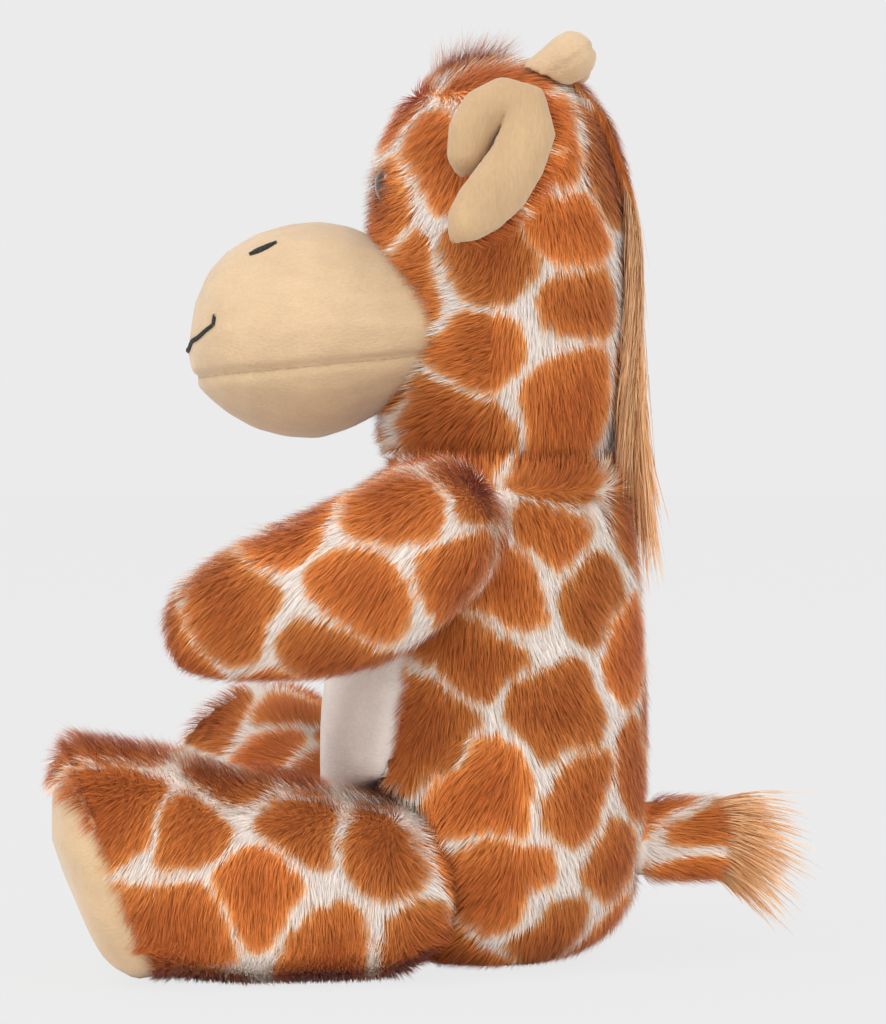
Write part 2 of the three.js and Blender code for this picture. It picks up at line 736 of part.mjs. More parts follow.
// Shares of the hair that hangs free: down, back, half width and half thickness.
const maneFallShares = [
  [0, 0.03, 0.5, 0.28],
  [0.22, -0.03, 0.5, 0.31],
  [0.345, 0.14, 0.5, 0.27],
  [0.556, 0.31, 0.46, 0.24],
  [0.766, 0.5, 0.38, 0.22],
  [0.906, 0.67, 0.24, 0.17],
];
const maneFallTipShare = 0.9;
const maneFallStart = new THREE.Vector3(0, headRearAt(maneLow) + maneHair / 3, maneLow - fit);
const maneFallPlace = (down, rear) =>
  maneFallStart.clone().add(new THREE.Vector3(0, rear * maneFallBack, -down * maneFallLength));
const maneFallRings = [
  ring(maneFallPlace(0, maneFallShares[0][1])),
  ...maneFallShares.map(([down, rear, half, thick]) =>
    ring(
      maneFallPlace(down, rear),
      across.clone().multiplyScalar(half * maneWidth),
      back.clone().multiplyScalar(thick * maneHair),
    ),
  ),
  ring(maneFallPlace(1, maneFallTipShare)),
];
addPiece(head, "mane_ends", loft(maneFallRings, smallSides), hairColour);

// Arms: shares of reach, drop and lean, then half width of width and half height of thickness.
const armShares = [
  [0, 0, 0, 0, 0],
  [0.025, 0.042, 0, 0.22, 0.17],
  [0.074, 0.116, 0, 0.36, 0.31],
  [0.133, 0.2, 0, 0.45, 0.4],
  [0.202, 0.305, 0.02, 0.485, 0.45],
  [0.3, 0.463, 0.05, 0.5, 0.48],
  [0.419, 0.621, 0.12, 0.5, 0.5],
  [0.557, 0.716, 0.25, 0.49, 0.472],
  [0.695, 0.779, 0.45, 0.46, 0.43],
  [0.813, 0.853, 0.68, 0.42, 0.37],
  [0.901, 0.916, 0.85, 0.36, 0.3],
  [0.961, 0.962, 0.95, 0.24, 0.19],
  [1, 1, 1, 0, 0],
];
const shoulderShares = [
  [-0.3, 0],
  [-0.29, 1],
  [0.42, 1],
  [0.85, 0.8],
  [1.15, 0],
];
for (const arm of arms) {
  const rows = armShares.map(([reach, drop, lean, half, high]) => {
    const x = arm.side * (armOut - lean * pawInward);
    const at = new THREE.Vector3(x, armBackEnd - reach * armReach, armTop - drop * armDrop);
    return half ? { at, wide: half * armWidth, tall: high * armThickness } : { at };
  });
  const limb = limbRings(rows, arm.outward);
  const shoulder = shoulderShares.map(([out, size]) => {
    const at = arm.seat.clone().addScaledVector(arm.outward, out * shoulderRadius);
    const radius = size * shoulderRadius;
    return size ? ring(at, back.clone().multiplyScalar(radius), up.clone().multiplyScalar(radius)) : ring(at);
  });
  const inward = arm.outward.clone().negate();
  const inside = blockBeyond(arm.seat, inward);
  const form = (margin, sides) =>
    joined(loft(grown(limb, margin), sides), loft(grown(shoulder, margin), sides));
  const bothForms = cut(joined(loft(limb, outerSides), loft(shoulder, outerSides)), inside);
  addPiece(root, `arm_cover_${arm.name}`, cut(bothForms, form(-furWall, innerSides)), furColour);
  addPiece(root, `arm_stuffing_${arm.name}`, cut(form(-furWall - fit, innerSides), inside), fillColour);
}

// What a limb may not reach: the body, as the limb meets it at each stop of its swing.
function bodyInSwing(place, axis, stops, margin) {
  const shrunk = loft(grown(bodyRings, margin), innerSides);
  const copies = stops.map((degrees) => {
    const turn = new THREE.Matrix4().makeRotationAxis(axis, rad(-degrees));
    const there = new THREE.Matrix4().makeTranslation(place.x, place.y, place.z);
    const home = new THREE.Matrix4().makeTranslation(-place.x, -place.y, -place.z);
    return shrunk.transform(there.multiply(turn).multiply(home).elements);
  });
  return joined(...copies);
}

// Legs: share of reach, height of the middle, half height and half width, and share of the tilt.
const legShares = [
  [-0.21, 0.31, 0.29, 0.3, 0],
  [0, 0.335, 0.365, 0.4, 0],
  [0.172, 0.353, 0.403, 0.43, 0],
  [0.4, 0.378, 0.428, 0.468, 0],
  [0.56, 0.38, 0.43, 0.474, 0.1],
  [0.7, 0.436, 0.468, 0.48, 0.45],
  [0.85, 0.458, 0.485, 0.49, 0.75],
  [0.98, 0.485, 0.497, 0.5, 1],
];
// Shares of the sole's dome: out from its plane, and how wide it still is.
const soleShares = [
  [0.4, 0.97],
  [0.8, 0.74],
];
const legStartShare = -0.3;
for (const leg of legs) {
  const heightAt = (share) => leg.hip.clone().setZ(share * footHeight);
  const along = (place, share) => place.addScaledVector(leg.run, share * legReach);
  const [startRise, endRise] = [legShares[0][1], legShares.at(-1)[1]];
  const section = (at, half, high, tilt) =>
    ring(
      at,
      leg.axis.clone().multiplyScalar(half * footWidth),
      up.clone().applyAxisAngle(leg.axis, rad(tilt * soleTilt)).multiplyScalar(high * footHeight),
    );
  const sole = along(heightAt(endRise), 1);
  const soleNormal = leg.run.clone().applyAxisAngle(leg.axis, rad(soleTilt));
  const outFromSole = (share) => sole.clone().addScaledVector(soleNormal, share * soleDome);
  const rings = [
    ring(along(heightAt(startRise), legStartShare)),
    ...legShares.map(([part, rise, high, half, tilt]) => section(along(heightAt(rise), part), half, high, tilt)),
    ...soleShares.map(([out, size]) => section(outFromSole(out), size / 2, size / 2, 1)),
    ring(outFromSole(1)),
  ];
  const beyondSole = blockBeyond(sole, soleNormal);
  const padStart = sole.clone().addScaledVector(soleNormal, fit);
  const behindSole = blockBeyond(padStart, soleNormal.clone().negate());
  const stops = Array.from({ length: hipStops }, (_, i) => ((hipUp + hipDown) * i) / (hipStops - 1) - hipUp);
  const form = (margin, sides) =>
    joined(
      cut(loft(grown(rings, margin), sides), bodyInSwing(leg.hip, leg.axis, stops, turnRoom - margin)),
      ballAt(leg.hip, hipRadius + margin),
    );
  const whole = cut(form(0, outerSides), belowFloor);
  const hollow = form(-furWall, innerSides);
  addPiece(root, `leg_cover_${leg.name}`, cut(whole, hollow, beyondSole), furColour);
  addPiece(root, `foot_pad_${leg.name}`, cut(whole, hollow, behindSole), beigeColour);
  addPiece(root, `leg_stuffing_${leg.name}`, form(-furWall - fit, innerSides), fillColour);
}

// Tail: a stuffed stub with a tuft of long hair sewn in its end.
const tailShares = [
  [-0.15, 0],
  [0, 0.33],
  [0.17, 0.41],
  [0.36, 0.49],
  [0.62, 0.5],
  [0.9, 0.46],
  [1.1, 0.36],
  [1.3, 0],
];
const tailRows = tailShares.map(([along, half]) => {
  const at = tailPlace.clone().addScaledVector(back, along * tailLength);
  return half ? { at, wide: half * tailWidth, tall: half * tailWidth } : { at };
});
const tailRings = limbRings(tailRows, across);
const tailCut = blockBeyond(tailPlace.clone().addScaledVector(back, tailLength), back);
const tailMiddle = tailPlace.clone().addScaledVector(back, tailLength / 2);
const tailStops = [-tailWag, 0, tailWag];
const tailForm = (margin, sides) =>
  joined(
    cut(loft(grown(tailRings, margin), sides), bodyInSwing(tailPlace, up, tailStops, turnRoom - margin)),
    ballAt(tailPlace, tailRoot + margin),
    barBetween(tailPlace, tailMiddle, (tailRoot + margin) / 2),
  );
const tailHollow = tailForm(-furWall, smallSides);
const tailFill = tailForm(-furWall - fit, smallSides);
addPiece(root, "tail_cover", cut(tailForm(0, innerSides), tailHollow, tailCut), furColour);
addPiece(root, "tail_stuffing", cut(tailFill, tailCut), fillColour);
const tuftShares = [
  [0, 0, 0],
  [0, 0, 0.4],
  [0.2, 0.06, 0.47],
  [0.48, 0.3, 0.36],
  [0.78, 0.66, 0.2],
  [1, 1, 0],
];
const tuftStart = tailPlace.clone().addScaledVector(back, tailLength + fit);
const tuftRings = tuftShares.map(([along, drop, half]) => {
  const at = tuftStart.clone().addScaledVector(back, along * tuftLength).addScaledVector(up, -drop * tuftDrop);
  const radius = half * tailWidth;
  return half ? ring(at, across.clone().multiplyScalar(radius), up.clone().multiplyScalar(radius)) : ring(at);
});
addPiece(root, "tail_tuft", loft(tuftRings, smallSides), hairColour);

export default root;
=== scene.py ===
import json
import math

import bpy
import numpy as np
from mathutils import Matrix, Vector
from mathutils.bvhtree import BVHTree
from mathutils.kdtree import KDTree


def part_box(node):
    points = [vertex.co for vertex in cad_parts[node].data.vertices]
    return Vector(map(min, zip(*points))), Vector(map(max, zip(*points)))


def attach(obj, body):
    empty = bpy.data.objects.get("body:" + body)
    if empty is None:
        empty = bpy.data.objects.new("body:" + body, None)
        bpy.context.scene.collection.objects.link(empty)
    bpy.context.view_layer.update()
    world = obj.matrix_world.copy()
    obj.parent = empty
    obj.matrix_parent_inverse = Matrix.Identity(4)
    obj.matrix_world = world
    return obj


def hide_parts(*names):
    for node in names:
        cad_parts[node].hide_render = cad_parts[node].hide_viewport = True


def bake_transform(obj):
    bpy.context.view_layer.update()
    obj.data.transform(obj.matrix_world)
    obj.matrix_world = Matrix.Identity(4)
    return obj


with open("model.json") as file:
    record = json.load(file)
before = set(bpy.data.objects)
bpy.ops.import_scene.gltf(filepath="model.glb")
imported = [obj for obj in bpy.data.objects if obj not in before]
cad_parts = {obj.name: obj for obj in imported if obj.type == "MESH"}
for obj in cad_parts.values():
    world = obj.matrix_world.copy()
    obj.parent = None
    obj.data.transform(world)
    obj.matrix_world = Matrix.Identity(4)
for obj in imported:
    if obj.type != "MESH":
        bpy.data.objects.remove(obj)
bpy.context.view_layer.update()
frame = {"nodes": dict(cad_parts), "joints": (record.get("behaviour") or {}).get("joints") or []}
bpy.ops.object.select_all(action="DESELECT")

# The camera stands level with the toy's chest, 1.3 m to its left, with a long lens, and looks
# slightly down at it. Places named in the photograph's pixels are found again through it.
image_width, image_height = 886, 1024
camera_place = (1.3, -0.028, 0.181)
camera_pitch = math.radians(1.65)
focal_pixels = 4030
sensor_mm = 36
studio_size = 20
bpy.ops.object.camera_add(
    location=camera_place, rotation=(math.radians(90) - camera_pitch, 0, math.radians(90))
)
camera = bpy.context.object
camera.data.sensor_width = sensor_mm
camera.data.lens = focal_pixels / image_height * sensor_mm
camera.data.clip_end = studio_size
bpy.context.scene.camera = camera
bpy.context.view_layer.update()


def on_skin(tree, pixels):
    """The places on a skin that lie under these pixels of the photograph."""
    found = []
    for x, y in pixels:
        out = Vector((x - image_width / 2, image_height / 2 - y, -focal_pixels))
        hit = tree.ray_cast(camera.location, (camera.matrix_world.to_3x3() @ out).normalized())[0]
        if hit is not None:
            found.append(hit)
    return np.array(found).reshape(-1, 3)


# The studio: a pale floor with no edge in sight and a pale room, one large soft lamp above the
# toy's front and a weaker one behind the camera. The floor glows a little for the camera alone,
# so that it is as pale as the backdrop and still holds the toy's shadow.
backdrop_colour = (0.831, 0.831, 0.831, 1)
floor_glow_colour = (0.826, 0.826, 0.826, 1)
floor_glow_share = 0.95
room_light = 0.8
toy_middle = Vector((0, -0.02, 0.14))
bpy.ops.mesh.primitive_plane_add(size=12, location=(0, 0, 0))
floor = bpy.context.object
floor.name = "studio_floor"


def add_node(tree, kind, links=None, **settings):
    """A shader node with its settings, and its inputs linked to sockets or set to values."""
    node = tree.nodes.new(kind)
    node.location = (220 * len(tree.nodes), 0)
    for name, value in settings.items():
        setattr(node, name, value)
    for name, value in (links or {}).items():
        if isinstance(value, bpy.types.NodeSocket):
            tree.links.new(value, node.inputs[name])
        else:
            node.inputs[name].default_value = value
    return node


def new_paint(name):
    paint = bpy.data.materials.new(name)
    paint.use_nodes = True
    paint.node_tree.nodes.clear()
    return paint, paint.node_tree


def arithmetic(tree, operation, *values):
    node = add_node(tree, "ShaderNodeMath", dict(enumerate(values)), operation=operation)
    return node.outputs[0]


floor_paint, tree = new_paint("studio_floor")
seen_by_camera = add_node(tree, "ShaderNodeLightPath").outputs["Is Camera Ray"]
share = arithmetic(tree, "MULTIPLY", seen_by_camera, floor_glow_share)
matte = add_node(tree, "ShaderNodeBsdfDiffuse", {"Color": (0.9, 0.9, 0.9, 1)})
glow = add_node(tree, "ShaderNodeEmission", {"Color": floor_glow_colour})
mixed = add_node(tree, "ShaderNodeMixShader", {0: share, 1: matte.outputs[0], 2: glow.outputs[0]})
add_node(tree, "ShaderNodeOutputMaterial", {"Surface": mixed.outputs[0]})
floor.data.materials.append(floor_paint)

world = bpy.data.worlds.new("room")
bpy.context.scene.world = world
world.use_nodes = True
tree = world.node_tree
tree.nodes.clear()
seen_by_camera = add_node(tree, "ShaderNodeLightPath").outputs["Is Camera Ray"]
room = add_node(tree, "ShaderNodeBackground", {"Color": (1, 1, 1, 1), "Strength": room_light})
seen = add_node(tree, "ShaderNodeBackground", {"Color": backdrop_colour})
mixed = add_node(
    tree, "ShaderNodeMixShader", {0: seen_by_camera, 1: room.outputs[0], 2: seen.outputs[0]}
)
add_node(tree, "ShaderNodeOutputWorld", {"Surface": mixed.outputs[0]})


def soft_lamp(name, place, size, power):
    bpy.ops.object.light_add(type="AREA", location=place)
    lamp = bpy.context.object
    lamp.name = name
    lamp.data.size = size
    lamp.data.energy = power
    lamp.rotation_euler = (toy_middle - Vector(place)).to_track_quat("-Z", "Y").to_euler()


soft_lamp("key_lamp", place=(0.7, -1.0, 1.5), size=0.9, power=15)
soft_lamp("side_lamp", place=(1.7, 0.7, 0.9), size=1.4, power=14)
bpy.context.scene.view_settings.view_transform = "Standard"

# Body: a bag of long-pile fur cloth, stuffed hard, with dishes where the neck, legs and tail turn.
# The cloth is the solid's own outside, swollen by the stuffing and taken in to the pile's roots,
# and the pile is short strands combed down it. Rust patches with white between them are woven in.
pile_length = 0.0076
pile_density = 2.6  # strands to a square millimetre
root_depth = 0.0026  # from the solid's outside in to the cloth, where the pile is rooted
sides = (("left", 1), ("right", -1))


def picked(*objects):
    bpy.ops.object.select_all(action="DESELECT")
    for piece in objects:
        piece.select_set(True)
    bpy.context.view_layer.objects.active = objects[-1]


def apply_modifier(piece, kind, **settings):
    picked(piece)
    modifier = piece.modifiers.new(kind.lower(), kind)
    for name, value in settings.items():
        setattr(modifier, name, value)
    bpy.ops.object.modifier_apply(modifier=modifier.name)


def points_of(piece):
    found = np.empty(len(piece.data.vertices) * 3)
    piece.data.vertices.foreach_get("co", found)
    return found.reshape(-1, 3)


def set_points(piece, points):
    piece.data.vertices.foreach_set("co", np.asarray(points, dtype=float).ravel())
    piece.data.update()


def normals_of(piece):
    found = np.empty(len(piece.data.vertices) * 3)
    piece.data.vertex_normals.foreach_get("vector", found)
    return found.reshape(-1, 3)


def in_scene(name, mesh):
    piece = bpy.data.objects.new(name, mesh)
    bpy.context.scene.collection.objects.link(piece)
    return piece


def edited(piece, *steps):
    """Runs these operators, each with its settings, on the whole of a piece's mesh."""
    picked(piece)
    bpy.ops.object.mode_set(mode="EDIT")
    for operator, settings in steps:
        bpy.ops.mesh.select_all(action="SELECT")
        operator(**settings)
    bpy.ops.object.mode_set(mode="OBJECT")


def merged_copy(name, nodes):
    picked(*[in_scene(name, frame["nodes"][node].data.copy()) for node in nodes])
    if len(nodes) > 1:
        bpy.ops.object.join()
    piece = bpy.context.object
    piece.name = name
    piece.data.materials.clear()
    while piece.data.uv_layers:
        piece.data.uv_layers.remove(piece.data.uv_layers[0])
    edited(piece, (bpy.ops.mesh.remove_doubles, {"threshold": 1e-6}))
    return piece


def largest_part(piece):
    name = piece.name
    picked(piece)
    bpy.ops.mesh.separate(type="LOOSE")
    parts = list(bpy.context.selected_objects)
    largest = max(parts, key=lambda part: part.dimensions.length)
    for part in parts:
        if part != largest:
            bpy.data.objects.remove(part)
    largest.name = name
    return largest


swell_frames = 12
cloth_stiffness = 0.6


def swell(piece, pressure, most):
    """The stuffing swells the cloth: a short simulation, with no point moved further than most."""
    before = points_of(piece)
    cloth = piece.modifiers.new("cloth", "CLOTH")
    cloth.settings.use_pressure = True
    cloth.settings.uniform_pressure_force = pressure
    cloth.settings.effector_weights.gravity = 0
    cloth.settings.bending_stiffness = cloth_stiffness
    cloth.point_cache.frame_end = swell_frames
    for step in range(1, swell_frames + 1):
        bpy.context.scene.frame_set(step)
    picked(piece)
    bpy.ops.object.modifier_apply(modifier=cloth.name)
    bpy.context.scene.frame_set(1)
    moved = points_of(piece) - before
    length = np.linalg.norm(moved, axis=1, keepdims=True)
    set_points(piece, before + moved * np.minimum(1, most / np.maximum(length, 1e-9)))


turned_out = (bpy.ops.mesh.normals_make_consistent, {"inside": False})


def take_in(piece, depth):
    edited(piece, turned_out, (bpy.ops.transform.shrink_fatten, {"value": -depth}))
    bpy.ops.object.shade_smooth()


def stuffed_skin(name, nodes, cell=0.004, smoothing=6, pressure=0, depth=root_depth):
    """One closed cloth over several solids, rounded and swollen, and taken in by this depth."""
    piece = merged_copy(name, nodes)
    apply_modifier(piece, "REMESH", mode="VOXEL", voxel_size=cell)
    piece = largest_part(piece)
    apply_modifier(piece, "SMOOTH", factor=0.5, iterations=smoothing)
    if pressure:
        swell(piece, pressure, most=0.003)
        apply_modifier(piece, "SMOOTH", factor=0.5, iterations=2)
    take_in(piece, depth)
    return piece


def finish_cloth(piece, paint, body, nodes=()):
    """Paints a piece, sets it on what it rides on, and hides the solids it stands for."""
    piece.data.materials.clear()
    piece.data.materials.append(paint)
    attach(piece, body)
    if nodes:
        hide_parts(*nodes)


def tree_of(piece):
    mesh = piece.data
    return BVHTree.FromPolygons(
        [v.co for v in mesh.vertices], [tuple(p.vertices) for p in mesh.polygons]
    )


def unit(vectors):
    return vectors / np.maximum(np.linalg.norm(vectors, axis=-1, keepdims=True), 1e-12)


def smooth_noise(points, size, seed):
    """A value from about -1 to 1 that changes smoothly over this size."""
    chance, waves = np.random.default_rng(seed), 7
    ways = unit(chance.normal(size=(waves, 3))) * chance.uniform(0.6, 1.4, (waves, 1))
    shifts = chance.uniform(0, 2 * math.pi, waves)
    return np.sin(points @ ways.T * (2 * math.pi / size) + shifts).sum(axis=1) / math.sqrt(waves)


def patch_centres(skin, seen_places, seed, spacing):
    """The patches that the photograph shows, and others for what it doesn't show."""
    chance = np.random.default_rng(seed)
    centres = list(seen_places)
    places = points_of(skin)
    for place in places[chance.permutation(len(places))]:
        if not centres or np.min(np.linalg.norm(np.array(centres) - place, axis=1)) > spacing:
            centres.append(place)
    return np.array(centres)


patch_corner = 0.0025  # how round the patches' corners are
border_waves = ((0.0018, 0.022, 0), (0.0007, 0.005, 5))  # how deep, how long, and their seeds
band_change, band_size = 0.0005, 0.034  # the white between patches is wider here and there


def patch_edges(points, pattern):
    """How far each point is from its patch's rounded border, and the patch's own shade."""
    centres, seed = pattern
    shifted = points.copy()
    for axis in range(3):
        for deep, long, more in border_waves:
            shifted[:, axis] += deep * smooth_noise(points, long, seed + more + axis)
    away = (shifted**2).sum(axis=1)[:, None] - 2 * shifted @ centres.T + (centres**2).sum(axis=1)
    nearest = np.argmin(away, axis=1)
    first = away[np.arange(len(points)), nearest][:, None]
    between = np.linalg.norm(centres[:, None] - centres, axis=2) + np.eye(len(centres)) * 1e-6
    borders = (away - first) / (2 * between[nearest])
    borders[np.arange(len(points)), nearest] = 1
    edge = -patch_corner * np.log(np.exp(-borders / patch_corner).sum(axis=1))
    edge -= band_change * smooth_noise(points, band_size, seed + 9)
    shades = np.random.default_rng(seed).uniform(0, 1, len(centres))
    return edge, shades[nearest]


def set_values(piece, name, values):
    held = piece.data.attributes.new(name, "FLOAT", "POINT")
    held.data.foreach_set("value", np.asarray(values, dtype=np.float32))


def paint_patches(skin, pattern):
    edge, shade = patch_edges(points_of(skin), pattern)
    set_values(skin, "edge", edge * 1000)
    set_values(skin, "shade", shade)
    # painted shade: the cloth under the pile gets the darkening of the strands' roots
    set_values(skin, "along", np.full(len(edge), 0.15))
    set_values(skin, "tone", np.full(len(edge), 0.5))


def inside_nodes(points, nodes):
    """Which points lie in these solids: a ray out of a solid crosses it an odd number of times."""
    found = np.zeros(len(points), dtype=bool)
    way = Vector((0.31, -0.22, 0.92)).normalized()
    for node in nodes:
        low, high = (np.array(corner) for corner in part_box(node))
        tree = tree_of(frame["nodes"][node])
        near = np.all((points > low) & (points < high), axis=1) & ~found
        for i in np.flatnonzero(near):
            start, crossed = Vector(points[i]), 0
            while start is not None:
                start = tree.ray_cast(start, way)[0]
                if start is not None:
                    start = start + way * 1e-6
                    crossed += 1
            found[i] = crossed % 2 == 1
    return found


def strand_mesh(name, line, normal, width, chance, pattern=None):
    """Flat tapering strands along lines of points, each with a cell of its own on the map."""
    steps, count = len(line) - 1, len(line[0])
    last = line[-1] - line[-2]
    side = unit(np.cross(normal, last))
    up = unit(np.cross(last, side))
    most_roll, widths, taper, roughness, tilt = 28, (0.75, 1.25), 0.35, 0.09, 0.2
    roll = np.radians(chance.uniform(-most_roll, most_roll, count))[:, None]
    across = side * np.cos(roll) + up * np.sin(roll)
    half = width / 2 * chance.uniform(*widths, count)[:, None]
    rings = []
    for step in range(steps):
        size = 1 - taper * step / steps
        rings += [line[step] + across * half * size, line[step] - across * half * size]
    strands = np.stack(rings + [line[-1]], axis=1)
    per = 2 * steps + 1
    first = np.arange(count)[:, None] * per
    quads = [[2 * k, 2 * k + 1, 2 * k + 3, 2 * k + 2] for k in range(steps - 1)]
    tip = [2 * steps - 2, 2 * steps - 1, 2 * steps]
    loops = np.concatenate([first + np.array(face) for face in quads + [tip]], axis=1).ravel()
    sizes = np.tile([4] * (steps - 1) + [3], count)

    made = bpy.data.meshes.new(name)
    made.vertices.add(count * per)
    made.vertices.foreach_set("co", strands.ravel())
    made.loops.add(len(loops))
    made.loops.foreach_set("vertex_index", loops.astype(np.int32))
    made.polygons.add(len(sizes))
    made.polygons.foreach_set("loop_start", (np.cumsum(sizes) - sizes).astype(np.int32))
    made.update(calc_edges=True)
    piece = in_scene(name, made)

    grid = math.ceil(math.sqrt(count))
    cell = np.stack([np.arange(count) % grid, np.arange(count) // grid], axis=1) / grid
    spots = [[0.15 + 0.7 * (k % 2), 0.1 + 0.8 * (k // 2) / steps] for k in range(2 * steps)]
    spots = np.array(spots + [[0.5, 0.9]]) / grid
    flat = (cell[:, None, :] + spots[None, :, :]).reshape(-1, 2)
    layer = made.uv_layers.new(name="OFBake")
    layer.data.foreach_set("uv", flat[loops].ravel())

    # Light falls on each strand nearly as on the skin, which keeps the pile soft.
    rough = chance.normal(0, roughness, (count, 1, 3))
    soft = normal[:, None, :] + rough + tilt * up[:, None, :]
    made.normals_split_custom_set_from_vertices(
        unit(np.broadcast_to(soft, (count, per, 3))).reshape(-1, 3)
    )
    heights = [k // 2 / steps for k in range(2 * steps)] + [1]
    set_values(piece, "along", np.tile(heights, count))
    set_values(piece, "tone", np.repeat(chance.random(count), per))
    if pattern is not None:
        fray = 0.0007
        jitter = unit(last) * chance.normal(0, fray, (count, 1))
        read = [patch_edges(places + jitter, pattern) for places in line[1:]]
        order = [max(k // 2 - 1, 0) for k in range(2 * steps)] + [steps - 1]
        for index, value, size in ((0, "edge", 1000), (1, "shade", 1)):
            values = np.stack([read[k][index] for k in order], axis=1)
            set_values(piece, value, values.ravel() * size)
    return piece


strand_width, lowest_strand = 0.00023, 0.0004
length_change, shortest, longest = 0.13, 0.6, 1.35  # shares of the pile's length
rooted, clear_at = 0.05, 0.3  # how far down it starts, and how far up it must clear the solids
swirl, swirl_size = 5, 0.03  # how many degrees the pile turns aside, and over what distance
clump, clump_strands = 0.16, 12  # how far strands lean to a leader, and how many have one


def grow_pile(
    name, skin, body, flow, seed, pattern, length=pile_length, density=pile_density,
    lifts=(33, 15), loose=7, avoid=(), keep=None, ruffle=None,
):
    """Fur over a skin, combed along flow(points, normals), with the patches read along it.

    Each strand's parts stand up by lifts, give or take loose degrees, and by ruffle(points,
    normals) more. It grows where keep(points, normals) says so, outside the solids in avoid."""
    chance = np.random.default_rng(seed)
    mesh = skin.data
    mesh.calc_loop_triangles()
    corners = np.empty(len(mesh.loop_triangles) * 3, dtype=np.int32)
    mesh.loop_triangles.foreach_get("vertices", corners)
    corners = corners.reshape(-1, 3)
    places, normals = points_of(skin), normals_of(skin)
    a, b, c = (places[corners[:, k]] for k in range(3))
    areas = np.linalg.norm(np.cross(b - a, c - a), axis=1) / 2
    count = int(areas.sum() * 1e6 * density)
    sums = np.cumsum(areas)
    picks = np.searchsorted(sums, (np.arange(count) + chance.random(count)) / count * sums[-1])
    picks = np.minimum(picks, len(corners) - 1)
    r1, r2 = np.sqrt(chance.random(count)), chance.random(count)
    shares = np.stack([1 - r1, r1 * (1 - r2), r1 * r2], axis=1)[:, :, None]
    root = (places[corners[picks]] * shares).sum(axis=1)
    normal = unit((normals[corners[picks]] * shares).sum(axis=1))
    held = np.ones(count, dtype=bool) if keep is None else keep(root, normal)
    if avoid:
        held[held] = ~inside_nodes(root[held] + clear_at * length * normal[held], avoid)
    root, normal, count = root[held], normal[held], int(held.sum())

    way = flow(root, normal)
    way = unit(way - (way * normal).sum(axis=1, keepdims=True) * normal)
    turn = chance.normal(size=count) + 1.6 * smooth_noise(root, swirl_size, seed)
    turn = np.radians(swirl) * turn
    aside = np.cross(normal, way)
    way = way * np.cos(turn)[:, None] + aside * np.sin(turn)[:, None]
    long = length * np.clip(chance.normal(1, length_change, count), shortest, longest)
    steps = len(lifts)
    shift = chance.normal(0, loose, count) + (0 if ruffle is None else ruffle(root, normal))
    line = [root - rooted * length * normal]
    for step, lift in enumerate(lifts):
        angle = np.radians(lift + shift)[:, None]
        out = unit(way * np.cos(angle) + normal * np.sin(angle))
        line.append(line[-1] + out * (long / steps)[:, None])
    leaders = chance.choice(count, max(1, count // clump_strands), replace=False)
    finder = KDTree(len(leaders))
    for k, leader in enumerate(leaders):
        finder.insert(Vector(root[leader]), k)
    finder.balance()
    near = leaders[[finder.find(Vector(place))[1] for place in root]]
    pull = clump * chance.uniform(0.5, 1, count)[:, None]
    for step in range(1, steps + 1):
        gone = pull * (step / steps) ** 1.5
        line[step] = line[step] * (1 - gone) + line[step][near] * gone
    for places_along in line:
        places_along[:, 2] = np.maximum(places_along[:, 2], lowest_strand)
    piece = strand_mesh(name, line, normal, strand_width, chance, pattern)
    finish_cloth(piece, fur_paint, body)
    return piece


def read_value(tree, name):
    return add_node(tree, "ShaderNodeAttribute", attribute_name=name).outputs["Fac"]


def ramp(tree, value, stops):
    node = add_node(tree, "ShaderNodeValToRGB", {"Fac": value})
    while len(node.color_ramp.elements) < len(stops):
        node.color_ramp.elements.new(1)
    for element, (place, colour) in zip(node.color_ramp.elements, stops):
        element.position = place
        element.color = (*colour, 1)
    return node.outputs["Color"]


def scaled(tree, value, by, plus):
    return arithmetic(tree, "MULTIPLY_ADD", value, by, plus)


def multiplied(tree, colour, value):
    sockets = {0: colour, "Scale": value}
    return add_node(tree, "ShaderNodeVectorMath", sockets, operation="SCALE").outputs[0]


def finish_paint(tree, sockets):
    """The paint's one surface, its sockets linked or set."""
    surface = add_node(tree, "ShaderNodeBsdfPrincipled", sockets)
    add_node(tree, "ShaderNodeOutputMaterial", {"Surface": surface.outputs[0]})


# The fur is off-white at a patch's border, rust within it and darker towards its middle, 16 mm in.
# Each strand has its own tone and is painted darker at its root, painted shade of the pile's depth;
# where it is white both are weaker.
fur_paint, tree = new_paint("patterned_fur")
reach = arithmetic(tree, "DIVIDE", read_value(tree, "edge"), 16)
patch_stops = [
    (0.0, (0.92, 0.835, 0.77)),
    (0.055, (0.93, 0.80, 0.67)),
    (0.10, (0.86, 0.37, 0.11)),
    (0.20, (0.69, 0.21, 0.045)),
    (0.65, (0.52, 0.13, 0.026)),
]
colour = ramp(tree, reach, patch_stops)
tone = scaled(tree, read_value(tree, "tone"), 0.5, 0.78)
shade = scaled(tree, read_value(tree, "shade"), 0.36, 0.82)
# painted shade: each strand darkens towards its root, as the pile's depth would shade it
depth = scaled(tree, read_value(tree, "along"), 0.34, 0.76)
level = arithmetic(tree, "MULTIPLY", arithmetic(tree, "MULTIPLY", tone, shade), depth)
on_patch = scaled(tree, arithmetic(tree, "MINIMUM", reach, 0.1), 8, 0.2)
darker = arithmetic(tree, "SUBTRACT", level, 1)
level = scaled(tree, darker, on_patch, 1)
fur_sheen = {"Specular IOR Level": 0.25, "Sheen Weight": 0.15, "Sheen Roughness": 0.4}
finish_paint(tree, {"Base Color": multiplied(tree, colour, level), "Roughness": 0.8, **fur_sheen})


